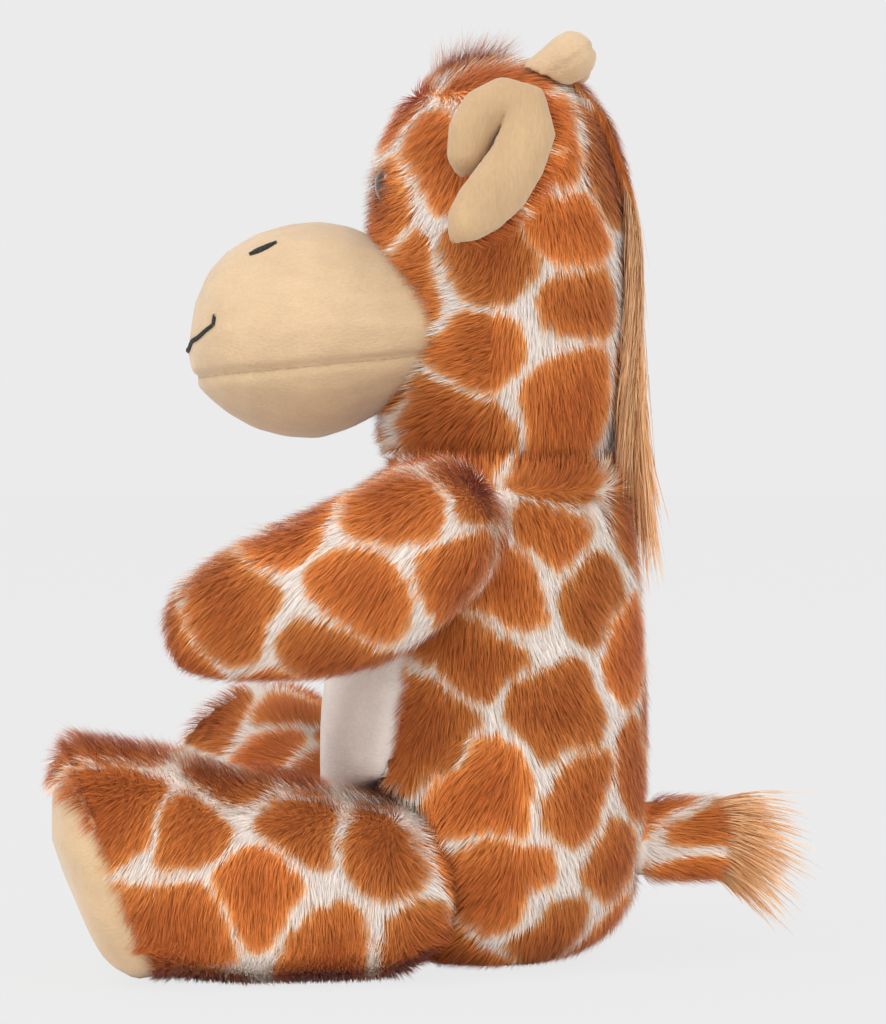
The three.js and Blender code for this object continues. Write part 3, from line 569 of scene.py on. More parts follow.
def finish_fur(piece, body, nodes, seen, seed, pattern_seed=None, spacing=0.026):
    """Finishes a fur cloth, with patches at the places seen and between them: its pattern."""
    pattern = patch_centres(piece, seen, seed, spacing), pattern_seed or seed
    paint_patches(piece, pattern)
    finish_cloth(piece, fur_paint, body, nodes)
    return pattern


def mirrored(places):
    return np.concatenate([places, places * (-1, 1, 1)])


body_patches = [
    (560, 490), (560, 535), (500, 590), (590, 590), (475, 655), (625, 645), (435, 725),
    (555, 725), (490, 790), (420, 805), (575, 795), (632, 780), (505, 885), (612, 860),
    (390, 890), (600, 925), (465, 955), (335, 955),
]
body_seed = 11
body_solids = ("body_cover", "body_stuffing", "belly_panel")
body_cloth = stuffed_skin(
    "body_cloth", [*body_solids, "pellet_bag", "neck_stuffing"], pressure=3, depth=0
)

# The belly is a smooth off-white panel of short plush, sewn into the front of the bag. The body is
# cut along its seam, and the stitches draw the panel's edge down below the fur.
belly_seam = [
    (-0.120, 0.0141), (-0.0554, 0.0141), (-0.0521, 0.0282), (-0.0473, 0.0528),
    (-0.0430, 0.0669), (-0.0387, 0.0880), (-0.0344, 0.1126), (-0.0360, 0.1373),
    (-0.0430, 0.1584), (-0.0516, 0.1690), (-0.120, 0.1690),
]


def prism(outline, half_width):
    """A closed block with this outline of (Y, Z) places, right across the toy."""
    count = len(outline)
    places = [(x, y, z) for x in (-half_width, half_width) for y, z in outline]
    faces = [tuple(range(count)), tuple(range(2 * count - 1, count - 1, -1))]
    faces += [(k, k + count, (k + 1) % count + count, (k + 1) % count) for k in range(count)]
    mesh = bpy.data.meshes.new("prism")
    mesh.from_pydata(places, [], faces)
    block = in_scene("prism", mesh)
    take_in(block, 0)
    return block


seam_dent, seam_reach = 0.0035, 0.004  # how deep the stitches draw the panel in, and how far
panel_depth = 0.0008


def share_of(values):
    return np.clip(values, 0, 1)


def distance_to_line(points, line):
    """The distance from each (Y, Z) point to a line of (Y, Z) places."""
    line = np.array(line)
    found = np.full(len(points), 1.0)
    for a, b in zip(line[:-1], line[1:]):
        share = share_of(((points - a) @ (b - a)) / ((b - a) @ (b - a)))[:, None]
        found = np.minimum(found, np.linalg.norm(points - a - share * (b - a), axis=1))
    return found


belly_cloth = in_scene("belly_cloth", body_cloth.data.copy())
take_in(body_cloth, root_depth)
front = prism(belly_seam, 0.1)
apply_modifier(belly_cloth, "BOOLEAN", operation="INTERSECT", use_self=True, object=front)
apply_modifier(body_cloth, "BOOLEAN", operation="DIFFERENCE", use_self=True, object=front)
bpy.data.objects.remove(front)
places, normals = points_of(belly_cloth), normals_of(belly_cloth)
to_seam = distance_to_line(places[:, 1:], belly_seam)
drawn_in = panel_depth + seam_dent * np.exp(-((to_seam / seam_reach) ** 2))
set_points(belly_cloth, places - normals * drawn_in[:, None])

body_seen = mirrored(on_skin(tree_of(body_cloth), body_patches))
body_nodes = ["body_cover", "body_stuffing", "pellet_bag"]
body_pattern = finish_fur(body_cloth, "torso", body_nodes, body_seen, body_seed)


def combed(*way):
    return lambda points, normals: np.tile(np.array(way, dtype=float), (len(points), 1))


pile_parting = 0.151  # the height where the body's pile parts, down below it and up above
parting_half = 0.005
thigh_back, thigh_top, thigh_side = -0.017, 0.076, 0.035


def by_thigh(points):
    """1 beside the round end of a leg, where the body's pile lies forwards into the crease."""
    x, y, z = points.T
    return share_of(1.5 - abs(y - thigh_back) / 0.010) * (z < thigh_top) * (abs(x) > thigh_side)


def over_body(points, normals):
    """Down the body, forwards at the belly's seam and the thighs, and up at the neck."""
    up = share_of((points[:, 2:] - pile_parting) / (2 * parting_half) + 0.5)
    by_seam = share_of(1.4 - distance_to_line(points[:, 1:], belly_seam) / 0.006)
    over = np.array((0, -1.1, 0)) * (by_seam + by_thigh(points))[:, None]
    return np.array((0, 0.12, -1)) * (1 - up) + np.array((0, 0, 1)) * up + over


def body_ruffle(points, normals):
    """The pile stands up more in the thighs' creases, and so hides its parting at the neck."""
    parting = np.exp(-(((points[:, 2] - pile_parting) / 0.006) ** 2))
    return 22 * by_thigh(points) + 42 * parting


limb_nodes = [
    f"{piece}_{name}"
    for name, _ in sides
    for piece in ("arm_cover", "arm_stuffing", "leg_cover", "leg_stuffing")
]
for name, side in sides:
    grow_pile(
        f"body_pile_{name}", body_cloth, "torso", over_body, body_seed + side, body_pattern,
        avoid=("head_cover", "head_stuffing", *limb_nodes),
        keep=lambda root, normal: (root[:, 0] * side > 0)
        & (distance_to_line(root[:, 1:], belly_seam) > 0.0006),
        ruffle=body_ruffle,
    )


def noise(tree, scale, detail, place=None):
    """Noise over these coordinates, or else over the object's own."""
    place = place or add_node(tree, "ShaderNodeTexCoord").outputs["Object"]
    sockets = {"Vector": place, "Scale": scale, "Detail": detail}
    return add_node(tree, "ShaderNodeTexNoise", sockets).outputs["Fac"]


def bumps(tree, height, strength, distance):
    sockets = {"Height": height, "Strength": strength, "Distance": distance}
    return add_node(tree, "ShaderNodeBump", sockets).outputs[0]


def plain_colour(tree, colour):
    node = add_node(tree, "ShaderNodeRGB")
    node.outputs[0].default_value = (*colour, 1)
    return node.outputs[0]


def short_nap(tree, size, combed_to):
    """A group of nodes for short pile: fine combed grain over broader pressed marks."""
    group = bpy.data.node_groups.get("short_nap")
    if group is None:
        group = bpy.data.node_groups.new("short_nap", "ShaderNodeTree")
        for name, way, kind in (
            ("Size", "INPUT", "NodeSocketFloat"),
            ("Combed", "INPUT", "NodeSocketVector"),
            ("Height", "OUTPUT", "NodeSocketFloat"),
            ("Level", "OUTPUT", "NodeSocketFloat"),
        ):
            group.interface.new_socket(name, in_out=way, socket_type=kind)
        asked = add_node(group, "NodeGroupInput")
        place = add_node(group, "ShaderNodeTexCoord").outputs["Object"]
        sockets = {0: place, 1: asked.outputs["Combed"]}
        drawn = add_node(group, "ShaderNodeVectorMath", sockets, operation="MULTIPLY").outputs[0]
        grain = noise(group, asked.outputs["Size"], 2, drawn)
        height = scaled(group, noise(group, 210, 2, drawn), 0.8, grain)
        mixed = scaled(group, noise(group, 45, 1, place), 1.0, height)
        level = scaled(group, mixed, 0.22, 0.70)
        add_node(group, "NodeGroupOutput", {"Height": height, "Level": level})
    used = add_node(tree, "ShaderNodeGroup", node_tree=group)
    used.inputs["Size"].default_value = size
    used.inputs["Combed"].default_value = combed_to
    return used.outputs["Height"], used.outputs["Level"]


plush_sheen = {"Specular IOR Level": 0.2, "Sheen Weight": 0.35, "Sheen Roughness": 0.45}


def plush_paint(name, colour, combed_to=(1, 0.5, 1), size=1500, bump=0.42):
    paint, tree = new_paint(name)
    height, level = short_nap(tree, size, combed_to)
    base = multiplied(tree, plain_colour(tree, colour), level)
    lumps = bumps(tree, height, bump, 0.0006)
    finish_paint(tree, {"Base Color": base, "Roughness": 0.85, "Normal": lumps, **plush_sheen})
    return paint


belly_paint = plush_paint("belly_plush", (0.74, 0.675, 0.62), combed_to=(0.4, 0.4, 1))
finish_cloth(belly_cloth, belly_paint, "torso", ["belly_panel"])

# Head: a tall stuffed cap of the same fur, with a round underside that turns in the body's dish.
# Its pile is combed down from the crown, and away from the muzzle on the face.
head_patches = [
    (405, 118), (455, 62), (440, 150), (395, 205), (488, 262), (400, 290), (475, 350), (572, 235),
    (570, 300), (597, 165), (555, 150), (565, 400), (455, 420),
]
head_seed = 21
head_nodes = ["head_cover", "head_stuffing"]
head_cloth = stuffed_skin("head_cloth", head_nodes, pressure=3)
head_seen = mirrored(on_skin(tree_of(head_cloth), head_patches))
head_pattern = finish_fur(head_cloth, "head", head_nodes, head_seen, head_seed)

muzzle_edge = (0.040, 0.0345)
muzzle_height = 0.2035
eye_place = np.mean(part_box("eye_left"), axis=0)
face_front, face_top = -0.034, 0.272  # in front of and below these the face's pile stands up
brow_middle, most_ruffle = -0.022, 44
fur_hem = 0.1655  # height below which the head turns in the body and has no pile


def by_muzzle(points):
    """1 at the muzzle's edge, less with the distance from it."""
    x, y, z = points.T
    off = np.hypot(x / muzzle_edge[0], (z - muzzle_height) / muzzle_edge[1])
    return share_of(1 - (off - 1) / 0.3) * (y < -0.012)


def beside_eye(points):
    """1 at the outer side of an eye, where the pile is combed forwards over it."""
    x, y, z = points.T
    out, over = (abs(x) - eye_place[0] - 0.009) / 0.007, (z - eye_place[2]) / 0.012
    return np.exp(-(out**2) - over**2) * (y < 0)


def face_and_nape(points, normals):
    """Down the head, forwards over the muzzle's edge, and back from the brow over the crown."""
    near = by_muzzle(points)[:, None]
    crown = share_of(normals[:, 2:] * 2 - 0.8)
    lean = np.clip(points[:, 1] * 14, -0.5, 0.3)
    down = np.stack([np.zeros(len(points)), lean, np.full(len(points), -1.0)], axis=1)
    down = down * (1 - crown) + np.array((0, 1, 0)) * crown
    near = np.maximum(near, beside_eye(points)[:, None])
    return down * (1 - near) + np.array((0, -1, -0.25)) * near


def face_ruffle(points, normals):
    """How many degrees the pile stands up more: by the muzzle and the eyes, and on the brow."""
    x, y, z = points.T
    brow = np.exp(-((y - brow_middle) ** 2 + x**2) / 0.012**2)
    face = share_of((face_front - y) / 0.008) * share_of((face_top - z) / 0.02)
    face = np.maximum.reduce([by_muzzle(points), face, beside_eye(points)])
    return most_ruffle * (face + brow * (normals[:, 2] > 0.3))


for name, side in sides:
    grow_pile(
        f"head_pile_{name}", head_cloth, "head", face_and_nape, head_seed + side, head_pattern,
        avoid=(
            *body_solids, "muzzle_upper", "muzzle_chin", "muzzle_stuffing", "eye_left", "eye_right",
            "horn_left", "horn_right", "horn_stuffing_left", "horn_stuffing_right",
        ),
        keep=lambda root, normal: (root[:, 0] * side > 0) & (root[:, 2] > fur_hem),
        ruffle=face_ruffle,
    )
grow_pile(
    "brow_tuft", head_cloth, "head", combed(0, 0.4, 0.3), head_seed + 5, head_pattern,
    length=0.0135, density=pile_density / 2, lifts=(62, 45), loose=16,
    keep=lambda root, normal: (np.hypot(root[:, 0], root[:, 1] + 0.020) < 0.011)
    & (normal[:, 2] > 0.4),
)

# Muzzle: a stuffed snout of beige short plush, an upper panel and a chin panel. The seam between
# them and the darts at the front are drawn in by their stitches.
chin_seam_front, chin_seam_rise = 0.1863, 0.0083
muzzle_front, muzzle_length = -0.111, 0.089
chin_place = Vector((0, muzzle_front, chin_seam_front))
chin_normal = Vector((0, -chin_seam_rise, muzzle_length)).normalized()


def draw_in(piece, distance, depth, reach):
    """Pulls the cloth in along a seam, given each point's distance from it."""
    pulled = depth * np.exp(-((distance / reach) ** 2))
    set_points(piece, points_of(piece) - normals_of(piece) * pulled[:, None])


def plane_distance(points, place, normal):
    return (points - np.array(place)) @ np.array(normal)


def halves(piece, names, place, normal):
    """Cuts a closed piece at a plane into two closed pieces, the first on the normal's side."""
    found = []
    for name, first in zip(names, (True, False)):
        part = in_scene(name, piece.data.copy())
        cut = {"plane_co": place, "plane_no": normal, "use_fill": True}
        cut.update(clear_inner=first, clear_outer=not first)
        edited(part, (bpy.ops.mesh.bisect, cut), turned_out)
        found.append(part)
    bpy.data.objects.remove(piece)
    return found


muzzle_nodes = ["muzzle_upper", "muzzle_chin", "muzzle_stuffing"]
muzzle_form = stuffed_skin("muzzle_form", muzzle_nodes, cell=0.0015, smoothing=12, depth=0.0006)
# Its back is pushed on into the head, past the pile that lies over its edge.
push_start, push_length, push_depth = -0.052, 0.014, 0.006
places = points_of(muzzle_form)
behind = share_of((places[:, 1] - push_start) / push_length)
places[:, 1] += push_depth * behind * behind * (3 - 2 * behind)
set_points(muzzle_form, places)
draw_in(muzzle_form, plane_distance(places, chin_place, chin_normal), 0.0014, 0.0016)
dart_side, dart_front, dart_height, dart_half = 0.0305, -0.095, 0.1985, 0.009
dart = np.hypot(abs(places[:, 0]) - dart_side, places[:, 1] - dart_front)
dart = np.hypot(dart, np.maximum(abs(places[:, 2] - dart_height) - dart_half, 0))
draw_in(muzzle_form, dart, 0.0008, 0.0014)
muzzle_upper, muzzle_chin = halves(
    muzzle_form, ("muzzle_upper_cloth", "muzzle_chin_cloth"), chin_place, chin_normal
)
beige_paint = plush_paint("short_plush", (0.575, 0.41, 0.25))
upper_nodes = ["muzzle_upper", "muzzle_stuffing"]
finish_cloth(muzzle_upper, beige_paint, "head", upper_nodes)
finish_cloth(muzzle_chin, beige_paint, "head", ["muzzle_chin"])

# Nostrils and mouth: satin stitch in near-black thread, sewn through the muzzle's cloth. Each
# stitch is a thread of its own, bowed a little over the padding beneath it.
thread_paint, tree = new_paint("thread")
near_black = plain_colour(tree, (0.017, 0.02, 0.017))
base = multiplied(tree, near_black, scaled(tree, read_value(tree, "tone"), 0.6, 0.7))
plies = bumps(tree, noise(tree, 2600, 1), 0.3, 0.0003)
finish_paint(tree, {"Base Color": base, "Roughness": 0.5, "Normal": plies})

muzzle_tree = tree_of(muzzle_upper)


def on_muzzle(place):
    return muzzle_tree.find_nearest(place)[:2]


def satin_stitches(name, path, widths, slant):
    """Stitches side by side across a path over the muzzle, each as long as the width there."""
    pitch, thickness, end_share, bow, lift = 0.00042, 0.00024, 0.55, 0.0007, 0.0001
    path = [Vector(place) for place in path]
    runs = [(b - a).length for a, b in zip(path[:-1], path[1:])]
    count = int(sum(runs) / pitch)
    sides_round, steps = 5, 4
    places, faces, tones = [], [], []
    chance = np.random.default_rng(len(name))
    for k in range(count):
        at = (k + 0.5) / count * sum(runs)
        leg = 0
        while leg < len(runs) - 1 and at > runs[leg]:
            at -= runs[leg]
            leg += 1
        along = (path[leg + 1] - path[leg]).normalized()
        middle, normal = on_muzzle(path[leg] + along * at)
        across = normal.cross(along).normalized() + along * slant
        share = (k + 0.5) / count * (len(widths) - 1)
        low = min(int(share), len(widths) - 2)
        width = widths[low] + (widths[low + 1] - widths[low]) * (share - low)
        width *= chance.uniform(0.92, 1.08)
        tone = chance.random()
        first = len(places)
        for step in range(steps + 1):
            out = step / steps
            spot, _ = on_muzzle(middle + across * width * (out - 0.5))
            rise = lift + bow * 4 * out * (1 - out)
            radius = thickness * (end_share if step in (0, steps) else 1)
            for k_round in range(sides_round):
                turn = 2 * math.pi * k_round / sides_round
                around = along * math.cos(turn) + normal * math.sin(turn)
                places.append(spot + normal * rise + around * radius)
                tones.append(tone)
        rings = first + np.arange((steps + 1) * sides_round).reshape(-1, sides_round)
        for low_ring, high_ring in zip(rings[:-1], rings[1:]):
            for k in range(sides_round):
                after = (k + 1) % sides_round
                faces.append((low_ring[k], low_ring[after], high_ring[after], high_ring[k]))
        faces += [tuple(rings[0][::-1]), tuple(rings[-1])]
    mesh = bpy.data.meshes.new(name)
    mesh.from_pydata(places, [], faces)
    piece = in_scene(name, mesh)
    take_in(piece, 0)
    set_values(piece, "tone", tones)
    return piece


nostril_pixels = [(250, 255), (277, 243)]
nostril_widths = [0.0008, 0.0023, 0.0029, 0.0028, 0.0022, 0.0008]
nostril_ends = on_skin(muzzle_tree, nostril_pixels)
for name, side in sides:
    ends = nostril_ends * (side, 1, 1)
    stitched = satin_stitches(f"nostril_stitches_{name}", ends, nostril_widths, slant=0.35)
    finish_cloth(stitched, thread_paint, "head", [f"nostril_{name}"])

mouth_out, mouth_low, mouth_rise, mouth_tick = 0.0255, 0.1955, 0.008, 0.003
mouth_shares = [(0, 0), (0.25, 0.1), (0.5, 0.34), (0.7, 0.5), (0.82, 0.66), (1, 1)]
half_mouth = [(out * mouth_out, mouth_low + rise * mouth_rise) for out, rise in mouth_shares]
half_mouth.append((mouth_out, mouth_low + mouth_rise + mouth_tick))
mouth_line = [(-x, z) for x, z in reversed(half_mouth[1:])] + half_mouth
mouth_path = [muzzle_tree.ray_cast((x, -0.2, z), (0, 1, 0))[0] for x, z in mouth_line]
mouth = satin_stitches("mouth_stitches", mouth_path, [0.0013, 0.0017, 0.0017, 0.0013], slant=0.7)
finish_cloth(mouth, thread_paint, "head", ["mouth_stitch"])

# Eyes: glossy near-black domes on stems, pushed through the cloth and held by washers inside.
# Each is its solid with a rounder dome over it, and looks forwards from between the fur.
eye_paint, tree = new_paint("eye_plastic")
haze = scaled(tree, noise(tree, 700, 2), 0.08, 0.04)
eye_coat = {"Coat Weight": 0.6, "Coat Roughness": 0.03}
finish_paint(tree, {"Base Color": (0.012, 0.007, 0.004, 1), "Roughness": haze, **eye_coat})
eye_radius, eye_dome, eye_turn = 0.006, 0.0042, math.radians(8)
for name, side in sides:
    look = Vector((side * math.sin(eye_turn), -math.cos(eye_turn), 0))
    node = frame["nodes"][f"eye_{name}"]
    apex = max((v.co for v in node.data.vertices), key=lambda place: place.dot(look))
    bpy.ops.mesh.primitive_uv_sphere_add(segments=40, ring_count=20, radius=1)
    eye = bpy.context.object
    eye.name = f"eye_dome_{name}"
    eye.data.transform(Matrix.Diagonal((eye_radius, eye_radius, eye_dome, 1)))
    eye.data.transform(look.to_track_quat("Z", "Y").to_matrix().to_4x4())
    eye.data.transform(Matrix.Translation(apex - look * eye_dome))
    bpy.ops.object.shade_smooth()
    finish_cloth(eye, eye_paint, "head")
    node.data.materials.clear()
    node.data.materials.append(eye_paint)

# Ears: padded leaves of short plush, bent over like a hook, on backs of long fur. The crushed pile
# has fine lines along the leaf. Each ear's root sits in the side of the head.
fine_cell = 0.0013
# painted shade: the lining's beige is painted darker than the muzzle's, for the shade of the hooked
# ear and its slit
ear_beige_with_shade = (0.49, 0.325, 0.18)
ear_paint = plush_paint("ear_plush", ear_beige_with_shade, combed_to=(1, 1, 0.22), size=1100, bump=0.6)
for name, side in sides:
    lining_nodes, back_nodes = [f"ear_lining_{name}"], [f"ear_back_{name}"]
    lining = stuffed_skin(
        f"ear_lining_cloth_{name}", lining_nodes, cell=fine_cell, smoothing=4, depth=-0.0013
    )
    finish_cloth(lining, ear_paint, f"ear_{name}", lining_nodes)
    back = stuffed_skin(
        f"ear_back_cloth_{name}", back_nodes, cell=fine_cell, smoothing=3, depth=0.0003
    )
    back_seed = 45 + side
    ear_seen = np.array([(side * 0.05, 0.004, 0.245), (side * 0.05, -0.016, 0.265)])
    pattern = finish_fur(back, f"ear_{name}", back_nodes, ear_seen, back_seed, spacing=0.02)
    grow_pile(
        f"ear_back_pile_{name}", back, f"ear_{name}", combed(0, 1.2, -0.7), back_seed, pattern,
        length=0.0085, avoid=(f"ear_lining_{name}", "head_cover", "head_stuffing"),
    )

# Horns: short stubs of the same plush, stuffed, leaning back from the top of the head. Each is two
# halves, with a seam along its sides.
horn_lean = np.array((0, 0.83, 0.55))
horn_seam = np.array((0, -0.55, 0.83))
for name, side in sides:
    nodes = [f"horn_{name}", f"horn_stuffing_{name}"]
    horn = stuffed_skin(f"horn_cloth_{name}", nodes, cell=fine_cell, smoothing=4, depth=0.0003)
    places = points_of(horn)
    tip = places[np.argmax(places @ horn_lean)]
    draw_in(horn, (places - tip) @ horn_seam + 0.001, 0.0006, 0.001)
    finish_cloth(horn, beige_paint, "head", nodes)

# Mane: long tan hair tufted in a cloth strip down the back of the head. The hair lies down the
# nape, and its ends hang free behind the neck. Above the hair the head's fur covers the strip.
hair_paint, tree = new_paint("long_hair")
hair_stops = [
    (0.0, (0.75, 0.38, 0.16)),
    (0.35, (0.84, 0.46, 0.21)),
    (0.8, (0.90, 0.55, 0.28)),
    (1.0, (0.94, 0.69, 0.44)),
]
colour = ramp(tree, read_value(tree, "tone"), hair_stops)
# painted shade: each hair is darker towards its root, in the depth of the mane
depth = scaled(tree, read_value(tree, "along"), 0.2, 0.85)
base = multiplied(tree, colour, depth)
finish_paint(tree, {"Base Color": base, "Roughness": 0.6, "Specular IOR Level": 0.35})

mane_cloth = merged_copy("mane_cloth", ["mane_strip"])
apply_modifier(mane_cloth, "BEVEL", width=0.0004, segments=2)
paint_patches(mane_cloth, head_pattern)
finish_cloth(mane_cloth, fur_paint, "head", ["mane_strip"])
mane_low, mane_top, mane_half = 0.180, 0.2825, 0.0118
hair_top = 0.252  # above it the head's fur closes over the strip
pile_under_hair = 0.0032
mane_trees = ((tree_of(mane_cloth), 0), (tree_of(head_cloth), pile_under_hair))
heights = np.linspace(mane_low + 0.001, mane_top - 0.001, 60)
columns = np.linspace(-0.018, 0.018, 10)


def back_of(x, z):
    """How far back the mane lies here: on its strip, or on the head's pile beside it."""
    hits = [(tree.ray_cast((x, 0.2, z), (0, -1, 0))[0], over) for tree, over in mane_trees]
    return max(hit.y + over for hit, over in hits if hit is not None)


backs = np.array([[back_of(x, z) for z in heights] for x in columns])


def lie_on_back(x, z):
    """The same for many places, read between the heights and columns tested."""
    by_column = np.array([np.interp(z, heights, column) for column in backs])
    share = np.clip((x - columns[0]) / (columns[1] - columns[0]), 0, len(columns) - 1.001)
    low = share.astype(int)
    every = np.arange(len(x))
    return by_column[low, every] * (low + 1 - share) + by_column[low + 1, every] * (share - low)


mane_seed = 61
chance = np.random.default_rng(mane_seed)
hairs, hair_length, hair_width, hair_steps = 9000, 0.029, 0.00028, 4
thinnest, thickest = 0.0002, 0.0024  # how deep the hair lies over the strip
most_stray = 0.0003
spread = chance.uniform(-1, 1, hairs) * mane_half
start = mane_low + (hair_top - mane_low) * chance.random(hairs)
lengths = hair_length * np.clip(chance.normal(1, 0.2, hairs), 0.5, 1.5)
layer = chance.uniform(thinnest, thickest, hairs)
drift = chance.normal(0, 0.0006, hairs)
stray = most_stray * chance.beta(1, 9, hairs)
line = []
for step in range(hair_steps + 1):
    z = start - lengths * step / hair_steps
    x = spread * (1 + 0.1 * step) + drift * step + chance.normal(0, 0.0003, hairs)
    y = lie_on_back(x, z) + layer * min(step, 2) / 2 + stray * step**2
    line.append(np.stack([x, y, z], axis=1))
facing = unit(np.stack([spread * 40, np.ones(hairs), np.full(hairs, 0.15)], axis=1))
mane_hair = strand_mesh("mane_hair", line, facing, hair_width, chance)


def hang_free(hair):
    """Paints the hair and bakes its placing into its mesh."""
    hair.data.materials.append(hair_paint)
    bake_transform(hair)


hang_free(mane_hair)
grow_pile(
    "mane_top_pile", mane_cloth, "head", combed(0, 0.2, -1), mane_seed + 2, head_pattern,
    lifts=(14, 4),
    keep=lambda root, normal: (root[:, 2] > hair_top - 0.005) & (normal[:, 1] > -0.3),
)


def loose_hair(name, roots, ways, lengths, bend, chance):
    """Long hairs from their roots, each turning a little more along bend at every step."""
    steps, width = 6, 0.00032
    line = [roots]
    wander = chance.normal(0, 0.018, (steps, len(roots), 3))
    for step in range(steps):
        ways = unit(ways + np.array(bend) + wander[step])
        line.append(line[-1] + ways * (lengths / steps)[:, None])
    facing = unit(np.cross(ways, chance.normal(size=ways.shape)))
    return strand_mesh(name, line, facing, width, chance)


chance = np.random.default_rng(mane_seed + 1)
ends, end_length = 2100, 0.067
across = chance.uniform(-1, 1, ends) * 0.0112
behind = 0.0330 + chance.normal(0, 1, ends) * 0.0016
height = mane_low + 0.028 * chance.beta(1, 2, ends) - 0.002
roots = np.stack([across, behind, height], axis=1)
hang_to = np.array((0, 0.0385, 0.120))
ways = unit(hang_to - roots * (0.7, 1, 1)) + chance.normal(0, 0.035, (ends, 3))
lengths = end_length * np.clip(chance.beta(2, 2.1, ends), 0.25, 1)
mane_ends = loose_hair("mane_ends_hair", roots, unit(ways), lengths, (0, 0.003, 0), chance)
hang_free(mane_ends)
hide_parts("mane_ends", "mane_pile")

# Arms: stuffed tubes of fur with a rounded paw, each sewn to the body in a ring at the shoulder.
# The pile runs down the arm to the paw and hangs from its lower edge.
arm_patches = [(470, 490), (395, 510), (290, 535), (362, 593), (235, 610), (180, 665), (330, 655)]
arm_seed = 71
paw_line, paw_half = [(-0.099, 0.113), (-0.066, 0.128)], 0.026
inner_flat, inner_round = 0.055, 0.006  # the arm's flat inner side, and how much it is rounded
arm_seen = None
for name, side in sides:
    nodes = [f"arm_cover_{name}", f"arm_stuffing_{name}"]
    arm = stuffed_skin(
        f"arm_cloth_{name}", nodes, smoothing=14, pressure=3, depth=root_depth - 0.001
    )
    places = points_of(arm)
    off_line = distance_to_line(places[:, 1:], paw_line)
    inner = share_of((inner_flat - abs(places[:, 0])) / inner_round)
    arch = np.sqrt(share_of(1 - (off_line / paw_half) ** 2))
    places[:, 0] -= side * inner_round * inner * arch
    set_points(arm, places)
    if arm_seen is None:
        arm_seen = on_skin(tree_of(arm), arm_patches)
    seed = arm_seed + side
    pattern = finish_fur(arm, f"arm_{name}", nodes, arm_seen * (side, 1, 1), seed, arm_seed)
    grow_pile(
        f"arm_pile_{name}", arm, f"arm_{name}", combed(0, -0.75, -0.8), seed, pattern,
        avoid=body_solids,
        ruffle=lambda points, normals: 9 * share_of(normals[:, 2] * 1.6 - 0.4),
    )

# Legs: stuffed tubes of fur with wide feet, the soles closed with oval pads of short plush. The
# pile hangs down the sides, stands up along the top of the foot and lies over the left pad's edge.
leg_patches = {
    "left": [
        (193, 823), (295, 833), (264, 890), (185, 935), (333, 953), (114, 872), (134, 798),
        (70, 790), (127, 754), (229, 790), (282, 780),
    ],
    "right": [(285, 717), (222, 727), (270, 762)],
}
leg_splay = {"left": 6, "right": 62}
pad_swell = {"left": 0.0012, "right": 0.0042}
pad_covered = ("left",)  # the foot whose fur closes over the top of the pad
fur_hem_gap = {"left": 0.0004, "right": 0.0018}  # from the pad's seam to the first fur
pad_round = 0.005  # over this distance from the seam the pad swells out
seam_groove, groove_reach = 0.0030, 0.0016
toe_low, toe_rise, toe_length, toe_back = 0.044, 0.028, 0.02, 0.0085  # the foot's top leans back
floor_zone, floor_bulge, floor_press, floor_gap = 0.032, 0.0075, 0.4, 0.0003
spread_zone, spread_rise = 0.022, 0.012  # below this height the pile spreads over the floor
leg_seed = 81
leg_reach, sole_height, sole_tilt = 0.087, 0.0388, math.radians(22)
sole_paint = plush_paint("sole_plush", (0.60, 0.42, 0.25))
